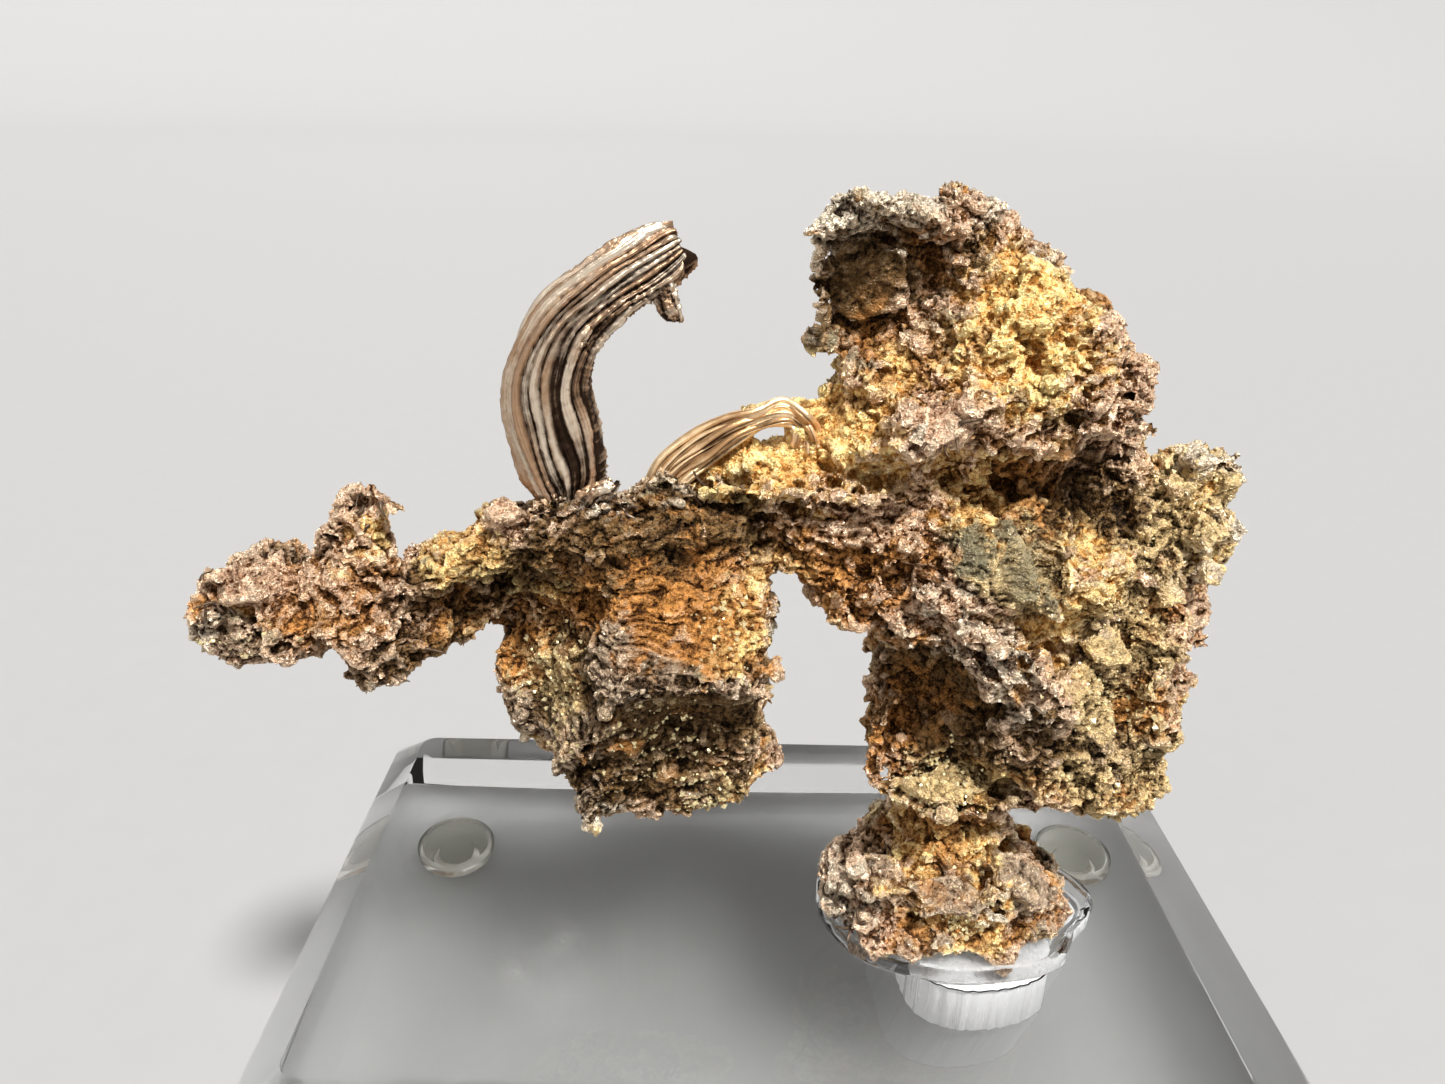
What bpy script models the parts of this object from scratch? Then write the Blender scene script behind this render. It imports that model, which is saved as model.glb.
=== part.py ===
"""Native silver specimen on a clear acrylic stand.

A branching mass of hackly silver and matrix stands on one foot in a carved acrylic riser, which
is fixed to a bevelled acrylic block on four clear bumpers. The origin is at the middle of the
stand's footprint, on the surface it stands on; +X is to the viewer's right and +Y points away.
"""
import math

import bmesh
import bpy
from mathutils import Vector, noise

MM = 0.001

# Driving dimensions, in millimetres
STAND_WIDTH = 99.5
STAND_DEPTH = 61.0
STAND_THICKNESS = 25.0
BUMPER_HEIGHT = 3.0
BUMPER_DIAMETER = 9.5
BUMPER_INSET = (9.8, 10.5)
BUMPER_SIDES = 16
BEVEL_DROP = 5.0
BEVEL_LEFT, BEVEL_RIGHT, BEVEL_FRONT, BEVEL_BACK = 5.2, 8.2, 5.0, 5.0
CORNER_RADIUS = 1.6
EDGE_BREAK = 0.35
GAP = 0.3
SLIVER = 0.004
STEM_HEIGHT = 5.2
TRAY_THICKNESS = 2.0
TRAY_RIM = 0.9
TRAY_DISH = 1.0
TRAY_BREAK = 0.5
STEM_BREAK = 0.4
TRAY_SIDES = 30
STRAP_RADIUS = 1.0
STRAP_STEPS = 14
TUBE_DEPTH = 1.3
CURL_THICKNESS = 3.3
CURL_RINGS = 24
CURL_FLUTES = 9

STAND_UNDERSIDE = BUMPER_HEIGHT
STAND_TOP = STAND_UNDERSIDE + STAND_THICKNESS
RISER_BOTTOM = STAND_TOP + GAP
TRAY_UNDERSIDE = RISER_BOTTOM + STEM_HEIGHT
TRAY_TOP = TRAY_UNDERSIDE + TRAY_THICKNESS
TRAY_CENTRE = (16.5, -9.5)

# Dome of a bumper: share of its radius, and height over the surface it stands on
BUMPER_DOME = ((1.0, 1.8), (0.93, 0.9), (0.76, 0.3), (0.5, 0.0))

# Mesh sizes, in millimetres and faces
VOXEL = 0.8
SOFTEN_STEPS = 2
MASS_TRIANGLES = 5800
LUMP_DETAIL = 3

# Relief of the mass: size and height of each kind, and the levels they are measured from
BROAD_SIZE, BROAD_HEIGHT = 6.0, 0.9
RIDGE_SIZE, RIDGE_HEIGHT, RIDGE_LEVEL = 3.6, 1.3, 0.42
KNOB_SIZE, KNOB_HEIGHT, KNOB_LEVEL = 3.4, 0.9, 0.45
SURFACE_LEVEL = 0.35

# Flat faces: x and z from and to in the front view, and the share of the relief they take
FLAT_FACES = ((-26.5, -2.0, 0.0, 73.5, 0.35), (-1.0, 8.0, 90.0, 112.0, 0.3))

# Outlines about TRAY_CENTRE, as degrees and millimetres: the tray overhangs the stem at the left
TRAY_OUTLINE = ((0, 14.0), (20, 12.4), (45, 10.6), (90, 9.8), (135, 10.8), (165, 12.6), (188, 13.0),
                (215, 12.3), (240, 10.8), (265, 10.2), (290, 10.4), (315, 11.8), (335, 12.0),
                (350, 13.4))
STEM_OUTLINE = ((0, 12.3), (20, 10.0), (60, 8.2), (120, 7.0), (180, 5.6), (205, 5.8), (225, 7.2),
                (245, 9.4), (265, 10.2), (283, 10.4), (315, 11.0), (328, 10.2), (337, 9.2),
                (347, 11.6), (354, 12.4))

# Lumps of the specimen: centre x, y, z and radii x, y, z, in millimetres
LEFT_ARM = (
    (-45.6, -16.6, 68.0, 2.7, 3.2, 2.5), (-44.9, -16.0, 65.4, 2.0, 2.4, 1.5),
    (-45.0, -16.6, 71.9, 1.7, 1.6, 0.9), (-42.6, -15.6, 69.9, 3.2, 4.2, 3.2),
    (-39.9, -15.4, 68.0, 3.8, 4.8, 3.4), (-36.3, -14.8, 68.9, 4.3, 5.2, 4.6),
    (-35.0, -14.6, 74.3, 2.7, 3.2, 3.0), (-35.3, -14.6, 77.0, 1.5, 1.8, 1.5),
    (-33.2, -14.6, 77.2, 1.6, 1.8, 1.5), (-33.6, -14.8, 65.2, 3.0, 4.0, 3.0),
    (-34.2, -15.4, 63.1, 1.8, 2.2, 1.5), (-31.0, -12.0, 66.8, 3.6, 4.8, 3.4),
    (-29.4, -12.6, 70.9, 2.8, 4.2, 2.3), (-26.2, -12.2, 72.2, 2.9, 4.2, 2.3),
    (-23.6, -12.0, 73.6, 2.8, 4.4, 2.7), (-28.2, -9.6, 66.6, 3.8, 4.4, 3.0),
    (-25.2, -9.4, 68.6, 3.6, 4.6, 3.4), (-22.2, -9.4, 69.2, 3.4, 4.4, 3.4))
HUB = (
    (-20.0, -11.4, 74.0, 3.0, 4.8, 2.9), (-16.4, -12.0, 75.2, 3.4, 5.4, 2.6),
    (-12.4, -12.2, 75.8, 3.4, 5.2, 2.6), (-8.2, -12.0, 75.6, 3.4, 4.8, 2.8),
    (-4.6, -11.0, 74.2, 3.2, 4.4, 2.8), (-15.9, -10.0, 77.4, 1.7, 2.2, 1.4),
    (-11.6, -10.6, 77.6, 1.7, 2.0, 1.6), (-8.3, -10.4, 77.3, 1.8, 2.2, 1.5))
BRIDGE = (
    (-3.0, -10.2, 76.8, 2.6, 3.4, 2.6), (-0.6, -10.0, 78.4, 3.0, 3.6, 3.0),
    (3.4, -9.2, 80.4, 4.0, 4.8, 3.7), (-0.2, -10.6, 73.9, 3.0, 4.6, 3.2),
    (3.7, -10.4, 76.4, 4.2, 5.4, 4.4), (4.0, -11.2, 71.4, 3.5, 4.8, 3.8),
    (3.6, -12.0, 69.0, 2.2, 3.0, 2.2), (8.0, -10.2, 75.6, 5.2, 6.2, 5.4),
    (1.4, -13.6, 78.2, 4.6, 1.6, 1.0), (-6.0, -11.0, 79.4, 2.8, 1.7, 2.0),
    (-3.2, -10.6, 80.2, 2.8, 2.0, 2.2), (-0.6, -10.0, 81.6, 2.2, 2.6, 2.2),
    (-5.8, -10.8, 81.4, 1.3, 1.2, 1.4))
CROWN = (
    (5.9, -8.4, 85.6, 4.7, 5.6, 4.4), (8.2, -7.6, 90.4, 4.4, 5.2, 4.8),
    (14.3, -8.2, 91.4, 6.4, 6.8, 6.0), (19.0, -8.4, 88.4, 5.8, 7.0, 5.8),
    (15.0, -9.6, 85.4, 7.2, 7.6, 6.4), (11.4, -8.2, 97.8, 2.7, 2.9, 2.9),
    (13.7, -7.8, 97.3, 2.1, 2.4, 2.5), (17.6, -7.2, 95.9, 1.5, 1.5, 1.5),
    (20.2, -9.0, 84.6, 5.9, 6.8, 5.0), (23.2, -8.0, 85.4, 3.4, 4.8, 4.2),
    (24.6, -7.6, 83.0, 2.2, 3.6, 2.6), (7.6, -9.2, 82.8, 5.0, 6.0, 4.6),
    (20.4, -8.4, 92.6, 2.2, 3.0, 1.6), (22.9, -8.0, 89.4, 2.2, 3.6, 2.6))
CAP = (
    (0.8, -12.0, 98.8, 1.4, 1.5, 1.1), (2.4, -11.6, 99.5, 1.6, 1.8, 1.2),
    (4.6, -11.2, 99.9, 1.7, 1.9, 1.3), (6.6, -10.4, 99.0, 1.8, 1.8, 1.2),
    (9.0, -9.2, 98.6, 1.6, 1.8, 1.5), (0.3, -9.8, 89.4, 1.3, 1.0, 0.9))
COLUMN = (
    (8.8, -11.2, 69.4, 4.6, 5.8, 4.4), (14.0, -10.4, 72.8, 7.2, 7.4, 7.6),
    (20.9, -9.2, 72.2, 7.6, 7.8, 8.4), (15.0, -8.0, 79.4, 7.4, 6.2, 5.6),
    (23.0, -7.6, 79.0, 5.6, 5.4, 5.0), (27.4, -7.6, 72.0, 5.4, 6.4, 6.6),
    (19.8, -11.0, 58.6, 6.8, 7.4, 7.0), (14.0, -9.2, 58.4, 5.8, 6.6, 6.6),
    (10.6, -8.4, 54.4, 3.8, 5.8, 4.6), (15.0, -10.4, 49.8, 5.4, 6.8, 3.6),
    (24.6, -11.0, 52.2, 5.2, 6.4, 4.6), (28.6, -8.8, 64.6, 5.6, 6.8, 6.0),
    (30.0, -9.4, 57.6, 4.9, 6.6, 5.8), (29.7, -9.8, 51.4, 4.6, 6.0, 3.8),
    (32.2, -9.0, 49.6, 2.2, 3.6, 2.0), (9.2, -6.6, 60.0, 2.6, 4.2, 5.6),
    (12.0, -14.6, 67.6, 3.4, 3.0, 2.4), (16.4, -15.8, 64.2, 3.6, 2.8, 2.4),
    (20.4, -16.4, 61.0, 3.2, 2.8, 2.6), (13.6, -15.2, 50.4, 5.0, 2.6, 1.5))
RIGHT_LOBE = (
    (32.4, -5.8, 74.6, 4.0, 4.6, 4.6), (34.6, -5.4, 76.6, 2.9, 3.8, 3.2),
    (35.0, -5.2, 70.6, 3.0, 4.2, 4.6), (33.0, -6.4, 66.0, 3.8, 5.2, 4.6),
    (32.0, -5.6, 78.6, 1.7, 2.2, 1.7), (35.6, -5.4, 79.0, 1.7, 2.0, 1.4),
    (36.2, -5.4, 73.0, 1.8, 2.6, 2.6))
FOOT = (
    (15.2, -9.4, 44.6, 5.9, 5.6, 4.6), (14.8, -9.6, 39.4, 8.6, 8.2, 4.8),
    (8.6, -10.4, 37.8, 4.8, 6.0, 3.6), (21.6, -9.6, 37.6, 5.4, 6.4, 3.9),
    (13.4, -12.8, 36.8, 9.0, 6.6, 3.4), (20.2, -12.4, 36.4, 6.8, 5.8, 3.0),
    (8.4, -11.4, 36.8, 5.0, 5.6, 3.0),
    (10.4, -16.4, 41.2, 3.8, 1.7, 1.0), (16.6, -17.0, 40.0, 4.4, 1.9, 1.2),
    (22.8, -13.6, 39.8, 2.8, 1.6, 1.6))
LEAVES = (
    (8.3, -16.6, 84.9, 3.1, 2.2, 2.0), (11.6, -15.4, 87.2, 1.7, 1.7, 1.3),
    (5.2, -14.0, 82.8, 2.4, 1.8, 1.4))

# Corners of the flat-faced bodies, in millimetres
BLOCK_CORNERS = (
    (-16.4, -16.0, 74.4), (-3.2, -13.0, 74.2), (-14.2, -20.4, 64.9), (-3.0, -18.6, 64.9),
    (-19.4, -17.2, 56.6), (-17.6, -14.0, 46.2), (-12.2, -13.6, 48.8), (-3.4, -13.2, 48.8),
    (-25.9, -7.0, 63.8), (-24.3, -6.6, 54.6), (-17.6, -7.0, 48.4), (-3.2, -7.0, 49.4),
    (-2.4, -7.6, 66.4), (-14.6, -5.2, 73.0), (-3.8, -6.8, 73.6))
BLOCK_KNOBS = (
    (-2.4, -9.4, 51.6, 1.7, 2.2, 2.2), (-8.6, -13.0, 48.6, 2.0, 1.6, 1.0),
    (-2.7, -10.8, 66.2, 1.2, 2.4, 2.4), (-17.6, -13.6, 47.2, 1.4, 1.6, 1.6),
    (-23.6, -9.4, 58.4, 2.6, 3.0, 5.6), (-9.0, -19.0, 65.4, 5.6, 1.4, 0.9))
FLAG_CORNERS = (
    (0.6, -12.2, 99.0), (8.4, -10.2, 99.2), (1.4, -9.4, 89.6), (8.6, -8.6, 90.2),
    (0.8, -9.2, 99.0), (8.4, -7.2, 99.2), (1.6, -6.6, 89.6), (8.6, -5.6, 90.2))

# Hollows pressed into the mass: centre x, y, z, reach and depth, in millimetres
HOLLOWS = (
    (23.6, -14.0, 78.6, 5.4, 3.4), (15.4, -15.0, 79.8, 4.2, 2.2), (18.8, -17.2, 73.4, 2.0, 2.0),
    (31.4, -13.6, 56.4, 3.0, 2.6), (9.6, -13.6, 60.6, 4.2, 2.4), (-3.4, -14.6, 73.8, 2.2, 2.4),
    (-17.2, -15.4, 69.6, 2.6, 2.2), (4.4, -12.4, 94.4, 4.4, 1.0), (-40.0, -19.6, 71.4, 2.2, 1.2),
    (-30.4, -15.6, 68.4, 2.8, 1.8), (14.6, -20.0, 43.2, 3.4, 1.2), (-21.6, -13.4, 66.4, 2.6, 1.2),
    (26.0, -14.0, 66.6, 2.4, 1.6), (21.0, -1.6, 84.0, 5.0, 2.4), (17.0, -1.6, 66.0, 5.6, 3.0),
    (-12.0, -4.4, 62.0, 4.8, 1.8), (-37.0, -9.8, 69.0, 3.4, 1.6), (-20.4, -14.0, 60.4, 4.4, 1.6),
    (-9.4, -16.8, 57.0, 4.8, 1.2))
HOLLOW_FALL = 2.2
HOLLOW_EDGE = 1.5

# Openings cut right through from front to back: centre x, z and radii x, z, in millimetres
WINDOWS = ((-3.1, 82.6, 2.1, 0.7), (-8.2, 79.6, 0.6, 1.1))
WINDOW_FRONT, WINDOW_BACK = -22.0, 2.0
WINDOW_SIDES = 10

# Curl: centre x, y, z and half width of the ribbon along its length, in millimetres
CURL_PATH = (
    (-16.4, -12.0, 73.2, 3.2), (-17.0, -12.0, 76.4, 3.5), (-18.6, -12.2, 80.0, 3.6),
    (-19.7, -12.6, 84.0, 3.4), (-19.6, -12.8, 87.8, 3.1), (-18.0, -12.8, 91.0, 2.7),
    (-15.4, -12.4, 93.6, 2.4), (-12.6, -11.6, 95.4, 2.2), (-9.9, -10.8, 96.9, 1.8))
CURL_SHRED = ((-11.6, -11.4, 93.8), (-10.6, -11.6, 92.2), (-10.9, -11.6, 90.2))
SHRED_RADII = (0.9, 0.8, 0.25)
CURL_ROOT, CURL_THINNING = 1.15, 0.45
FLUTE_SHARE = 0.86
TIP_RAG = 0.7
STRAP_PATH = (
    (-12.0, -10.8, 77.6), (-10.6, -11.0, 79.6), (-8.5, -11.0, 81.3), (-5.8, -11.0, 83.0),
    (-3.1, -10.8, 84.1), (-0.6, -10.2, 84.2), (1.8, -9.4, 83.4), (4.0, -8.8, 82.0))

# Forks: corners x, z of the front view at which one branch ends and the next begins
ARM_TOP, CURL_LEFT, CURL_RIGHT = (-21.8, 77.3), (-26.0, 77.3), (-12.8, 77.3)
ARM_LOW, BLOCK_SIDE = (-27.8, 62.8), (-37.2, 40.0)
STRAP_TOP, CROWN_LEFT = (-12.8, 81.2), (-4.0, 87.6)
HUB_TOP, ARCH_TOP, ARCH_LOW = (-8.0, 77.3), (-2.2, 70.0), (4.5, 61.9)
CROWN_ROOT, CROWN_MIDDLE, CROWN_RIGHT = (0.5, 86.4), (7.6, 85.0), (28.0, 81.6)
LOBE_INNER, LOBE_LOW = (29.5, 69.0), (41.0, 60.5)
LEFT, RIGHT, FLOOR, SKY = -60.0, 60.0, 30.0, 112.0
NEAR, FAR = -40.0, 40.0
BRANCHES = {
    "left_arm": ((LEFT, SKY), (LEFT, FLOOR), BLOCK_SIDE, ARM_LOW, ARM_TOP, CURL_LEFT, (-26.0, SKY)),
    "silver_curl": (CURL_LEFT, ARM_TOP, CURL_RIGHT, STRAP_TOP, CROWN_LEFT, (-4.0, SKY),
                    (-26.0, SKY)),
    "hanging_block": (ARM_TOP, ARM_LOW, BLOCK_SIDE, (-37.2, FLOOR), (0.3, FLOOR), ARCH_LOW,
                      ARCH_TOP, HUB_TOP, CURL_RIGHT),
    "silver_bridge": (CURL_RIGHT, HUB_TOP, ARCH_TOP, ARCH_LOW, CROWN_MIDDLE, CROWN_ROOT,
                      CROWN_LEFT, STRAP_TOP),
    "silver_crown": (CROWN_LEFT, CROWN_ROOT, CROWN_MIDDLE, CROWN_RIGHT, (41.0, 82.2),
                     (RIGHT, 82.2), (RIGHT, SKY), (-4.0, SKY)),
    "right_lobe": (CROWN_RIGHT, LOBE_INNER, LOBE_LOW, (RIGHT, 60.5), (RIGHT, 82.2), (41.0, 82.2)),
    "silver_column": (CROWN_MIDDLE, ARCH_LOW, (0.3, FLOOR), (RIGHT, FLOOR), (RIGHT, 60.5),
                      LOBE_LOW, LOBE_INNER, CROWN_RIGHT),
}

FINISHES = {
    "acrylic": ((0.93, 0.95, 0.96), 0.05, 0.0),
    "bumper": ((0.86, 0.87, 0.80), 0.12, 0.0),
    "left_arm": ((0.36, 0.26, 0.19), 0.48, 0.45),
    "silver_curl": ((0.62, 0.56, 0.48), 0.34, 0.85),
    "hanging_block": ((0.22, 0.14, 0.09), 0.55, 0.30),
    "silver_bridge": ((0.46, 0.30, 0.17), 0.46, 0.45),
    "silver_crown": ((0.55, 0.38, 0.20), 0.46, 0.50),
    "right_lobe": ((0.36, 0.33, 0.24), 0.42, 0.55),
    "silver_column": ((0.33, 0.23, 0.15), 0.50, 0.40),
}


def clear_scene():
    for old in list(bpy.data.objects):
        bpy.data.objects.remove(old, do_unlink=True)


def metres(point):
    return Vector(point) * MM


def material(name):
    colour, roughness, metallic = FINISHES[name]
    made = bpy.data.materials.new(name)
    made.use_nodes = True
    shader = made.node_tree.nodes["Principled BSDF"]
    shader.inputs["Base Color"].default_value = (*colour, 1.0)
    shader.inputs["Roughness"].default_value = roughness
    shader.inputs["Metallic"].default_value = metallic
    return made


def make_object(name, bm, finish=None):
    """Link a new object that holds the bmesh; without a finish it is a cutter or a guide."""
    bmesh.ops.recalc_face_normals(bm, faces=bm.faces)
    mesh = bpy.data.meshes.new(name)
    bm.to_mesh(mesh)
    bm.free()
    made = bpy.data.objects.new(name, mesh)
    bpy.context.scene.collection.objects.link(made)
    if finish:
        mesh.materials.append(material(finish))
    else:
        made.hide_render = True
        made.display_type = "WIRE"
    return made


def settle(made):
    """Turn the object's evaluated modifiers into its own mesh."""
    bpy.context.view_layer.update()
    graph = bpy.context.evaluated_depsgraph_get()
    mesh = bpy.data.meshes.new_from_object(made.evaluated_get(graph))
    made.modifiers.clear()
    made.data = mesh


def cut(made, tool, operation):
    step = made.modifiers.new(operation.lower(), "BOOLEAN")
    step.solver = "EXACT"
    step.operation = operation
    step.object = tool


def bridge_rings(bm, rings):
    """Join equal closed rings of vertices in order, and cap the first and the last."""
    count = len(rings[0])
    for low, high in zip(rings, rings[1:]):
        for i in range(count):
            j = (i + 1) % count
            bm.faces.new((low[i], low[j], high[j], high[i]))
    bm.faces.new(list(reversed(rings[0])))
    bm.faces.new(rings[-1])


def smooth_path(points, steps):
    """Catmull-Rom curve through points of any length, read at steps + 1 even places."""
    points = [Vector(p) for p in points]
    padded = [points[0] * 2 - points[1]] + points + [points[-1] * 2 - points[-2]]
    read = []
    for k in range(steps + 1):
        place = k / steps * (len(points) - 1)
        i = min(int(place), len(points) - 2)
        t = place - i
        a, b, c, d = padded[i:i + 4]
        read.append(0.5 * (2 * b + (c - a) * t + (2 * a - 5 * b + 4 * c - d) * t ** 2
                           + (3 * b - a - 3 * c + d) * t ** 3))
    return read


def rounded_rectangle(x0, x1, y0, y1, radius, z, turns=3):
    """Corner points of a rectangle with round corners, in millimetres, counter-clockwise."""
    centres = ((x1 - radius, y1 - radius, 0), (x0 + radius, y1 - radius, 90),
               (x0 + radius, y0 + radius, 180), (x1 - radius, y0 + radius, 270))
    points = []
    for cx, cy, start in centres:
        for k in range(turns + 1):
            angle = math.radians(start + 90 * k / turns)
            points.append((cx + radius * math.cos(angle), cy + radius * math.sin(angle), z))
    return points


def make_acrylic_base():
    """Block with a wide hand-cut bevel round its top face, and broken lower edges."""
    half_x, half_y = STAND_WIDTH / 2, STAND_DEPTH / 2
    edge = EDGE_BREAK
    shoulder = STAND_TOP - BEVEL_DROP
    levels = (
        (edge, edge, edge, edge, STAND_UNDERSIDE),
        (0, 0, 0, 0, STAND_UNDERSIDE + edge),
        (0, 0, 0, 0, shoulder),
        (BEVEL_LEFT, BEVEL_RIGHT, BEVEL_FRONT, BEVEL_BACK, STAND_TOP),
    )
    bm = bmesh.new()
    rings = []
    for left, right, front, back, z in levels:
        points = rounded_rectangle(-half_x + left, half_x - right, -half_y + front, half_y - back,
                                   CORNER_RADIUS, z)
        rings.append([bm.verts.new(metres(p)) for p in points])
    bridge_rings(bm, rings)
    return make_object("acrylic_base", bm, "acrylic")


def make_bumper(name, x, y):
    """Clear domed foot: a flat upper face, a straight band, and a dome down to a flat disc."""
    turn = [2 * math.pi * k / BUMPER_SIDES for k in range(BUMPER_SIDES)]
    bm = bmesh.new()
    rings = []
    for share, z in ((1.0, BUMPER_HEIGHT - GAP), *BUMPER_DOME):
        radius = share * BUMPER_DIAMETER / 2
        rings.append([bm.verts.new(metres((x + radius * math.cos(a), y + radius * math.sin(a), z)))
                      for a in turn])
    bridge_rings(bm, rings)
    bumper = make_object(name, bm, "bumper")
    bumper.data.shade_smooth()
    bumper.data.set_sharp_from_angle(angle=math.radians(40))
    return bumper


def outline_radius(outline, angle):
    """Radius of a closed outline at an angle in degrees, on a smooth curve through its points."""
    angles = [a for a, _ in outline]
    count = len(outline)
    following = next((i for i in range(count) if angles[i] > angle), count)
    i = (following - 1) % count
    start, end = angles[i], angles[following % count] + (360 if following == count else 0)
    t = (angle - start) / (end - start)
    a, b, c, d = (outline[(i + k) % count][1] for k in (-1, 0, 1, 2))
    return 0.5 * (2 * b + (c - a) * t + (2 * a - 5 * b + 4 * c - d) * t ** 2
                  + (3 * b - a - 3 * c + d) * t ** 3)


def outline_ring(bm, outline, inset, z):
    cx, cy = TRAY_CENTRE
    ring = []
    for k in range(TRAY_SIDES):
        degrees = 360 * k / TRAY_SIDES
        radius = outline_radius(outline, degrees) - inset
        angle = math.radians(degrees)
        ring.append(bm.verts.new(metres((cx + radius * math.cos(angle),
                                         cy + radius * math.sin(angle), z))))
    return ring


def make_tray_shape(name, grow, finish=None):
    """Carved riser: an irregular stem under a wider dished tray. It can be grown by a gap."""
    floor = TRAY_TOP - TRAY_DISH
    levels = (
        (STEM_OUTLINE, 0, RISER_BOTTOM),
        (STEM_OUTLINE, 0, TRAY_UNDERSIDE - STEM_BREAK),
        (TRAY_OUTLINE, TRAY_BREAK, TRAY_UNDERSIDE),
        (TRAY_OUTLINE, 0, TRAY_UNDERSIDE + TRAY_BREAK),
        (TRAY_OUTLINE, 0, TRAY_TOP + grow),
        (TRAY_OUTLINE, TRAY_RIM + 2 * grow, TRAY_TOP + grow),
        (TRAY_OUTLINE, TRAY_RIM + TRAY_DISH + 2 * grow, floor + grow),
    )
    bm = bmesh.new()
    rings = [outline_ring(bm, outline, inset - grow, z) for outline, inset, z in levels]
    bridge_rings(bm, rings)
    return make_object(name, bm, finish)


def add_lump(bm, lump):
    x, y, z, rx, ry, rz = lump
    made = bmesh.ops.create_icosphere(bm, subdivisions=LUMP_DETAIL, radius=1.0)
    for vert in made["verts"]:
        vert.co = metres((x + vert.co.x * rx, y + vert.co.y * ry, z + vert.co.z * rz))


def add_hull(bm, corners):
    verts = [bm.verts.new(metres(c)) for c in corners]
    made = bmesh.ops.convex_hull(bm, input=verts)
    loose = [v for v in made["geom_interior"] if isinstance(v, bmesh.types.BMVert)]
    bmesh.ops.delete(bm, geom=loose, context="VERTS")


def smoothness(place):
    """How much of the hackly relief a place takes, 0 to 1: flat faces take less."""
    x, _, z = place
    for left, right, low, high, share in FLAT_FACES:
        if left < x < right and low < z < high:
            return share
    return 1.0


def relief(place):
    """Height of the lumps, ridges and pits at a place, in millimetres."""
    broad = noise.noise(place / BROAD_SIZE)
    ridge = RIDGE_LEVEL - abs(noise.noise(place / RIDGE_SIZE + Vector((7.3, 1.9, 4.1))))
    knobs = KNOB_LEVEL - noise.voronoi(place / KNOB_SIZE)[0][0]
    return smoothness(place) * (BROAD_HEIGHT * broad + RIDGE_HEIGHT * ridge + KNOB_HEIGHT * knobs
                                - SURFACE_LEVEL)


def shape_mass(mesh):
    """Press the hollows into the remeshed mass and raise its relief along the normals."""
    places = [v.co / MM for v in mesh.vertices]
    normals = [v.normal.copy() for v in mesh.vertices]
    for vert, place, normal in zip(mesh.vertices, places, normals):
        height = relief(place)
        for x, y, z, reach, depth in HOLLOWS:
            away = (place - Vector((x, y, z))).length / reach
            if away < HOLLOW_EDGE:
                height -= depth * math.exp(-HOLLOW_FALL * away * away)
        vert.co += normal * height * MM


def make_mass():
    """All the branches' lumps as one closed surface, with its relief, in few faces."""
    bm = bmesh.new()
    for group in (LEFT_ARM, HUB, BRIDGE, CROWN, CAP, COLUMN, RIGHT_LOBE, FOOT, LEAVES, BLOCK_KNOBS):
        for lump in group:
            add_lump(bm, lump)
    add_hull(bm, BLOCK_CORNERS)
    add_hull(bm, FLAG_CORNERS)
    mass = make_object("mass", bm)
    remesh = mass.modifiers.new("surface", "REMESH")
    remesh.mode = "VOXEL"
    remesh.voxel_size = VOXEL * MM
    soften = mass.modifiers.new("soften", "SMOOTH")
    soften.factor = 0.5
    soften.iterations = SOFTEN_STEPS
    settle(mass)
    shape_mass(mass.data)
    triangles = sum(len(p.vertices) - 2 for p in mass.data.polygons)
    fewer = mass.modifiers.new("fewer", "DECIMATE")
    fewer.ratio = MASS_TRIANGLES / triangles
    settle(mass)
    return mass


def make_curl():
    """Fluted ribbon that rises from the hub, bends over and ends in a ragged tip."""
    points = smooth_path(CURL_PATH, CURL_RINGS)
    sides = 2 * CURL_FLUTES
    bm = bmesh.new()
    rings = []
    for k, point in enumerate(points):
        along = (points[min(k + 1, CURL_RINGS)].xyz - points[max(k - 1, 0)].xyz).normalized()
        across = along.cross(Vector((0, 1, 0))).normalized()
        depth = across.cross(along).normalized()
        part = k / CURL_RINGS
        half_depth = CURL_THICKNESS / 2 * (CURL_ROOT - CURL_THINNING * part)
        ring = []
        for i in range(sides):
            angle = 2 * math.pi * i / sides
            flute = 1.0 if i % 2 else FLUTE_SHARE
            ragged = 0.0
            if k == CURL_RINGS:
                ragged = TIP_RAG * noise.noise(Vector((i * 1.7, 3.1, 0.4)))
            place = (point.xyz + across * point[3] * flute * math.cos(angle)
                     + depth * half_depth * flute * math.sin(angle) + along * ragged)
            ring.append(bm.verts.new(metres(place)))
        rings.append(ring)
    bridge_rings(bm, rings)
    return make_object("curl_guide", bm)


def make_tube(name, points, radii, sides=8):
    """Round tube through points in millimetres, with one radius for each point."""
    bm = bmesh.new()
    rings = []
    for k, point in enumerate(points):
        along = (points[min(k + 1, len(points) - 1)] - points[max(k - 1, 0)]).normalized()
        across = along.cross(Vector((0, 1, 0))).normalized()
        depth = across.cross(along).normalized()
        ring = []
        for i in range(sides):
            angle = 2 * math.pi * i / sides
            offset = across * math.cos(angle) + depth * math.sin(angle) * TUBE_DEPTH
            ring.append(bm.verts.new(metres(point + offset * radii[k])))
        rings.append(ring)
    bridge_rings(bm, rings)
    return make_object(name, bm)


def make_strap():
    points = smooth_path(STRAP_PATH, STRAP_STEPS)
    return make_tube("strap_guide", points, [STRAP_RADIUS] * len(points))


def make_shred():
    points = [Vector(p) for p in CURL_SHRED]
    return make_tube("shred_guide", points, SHRED_RADII, sides=6)


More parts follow.
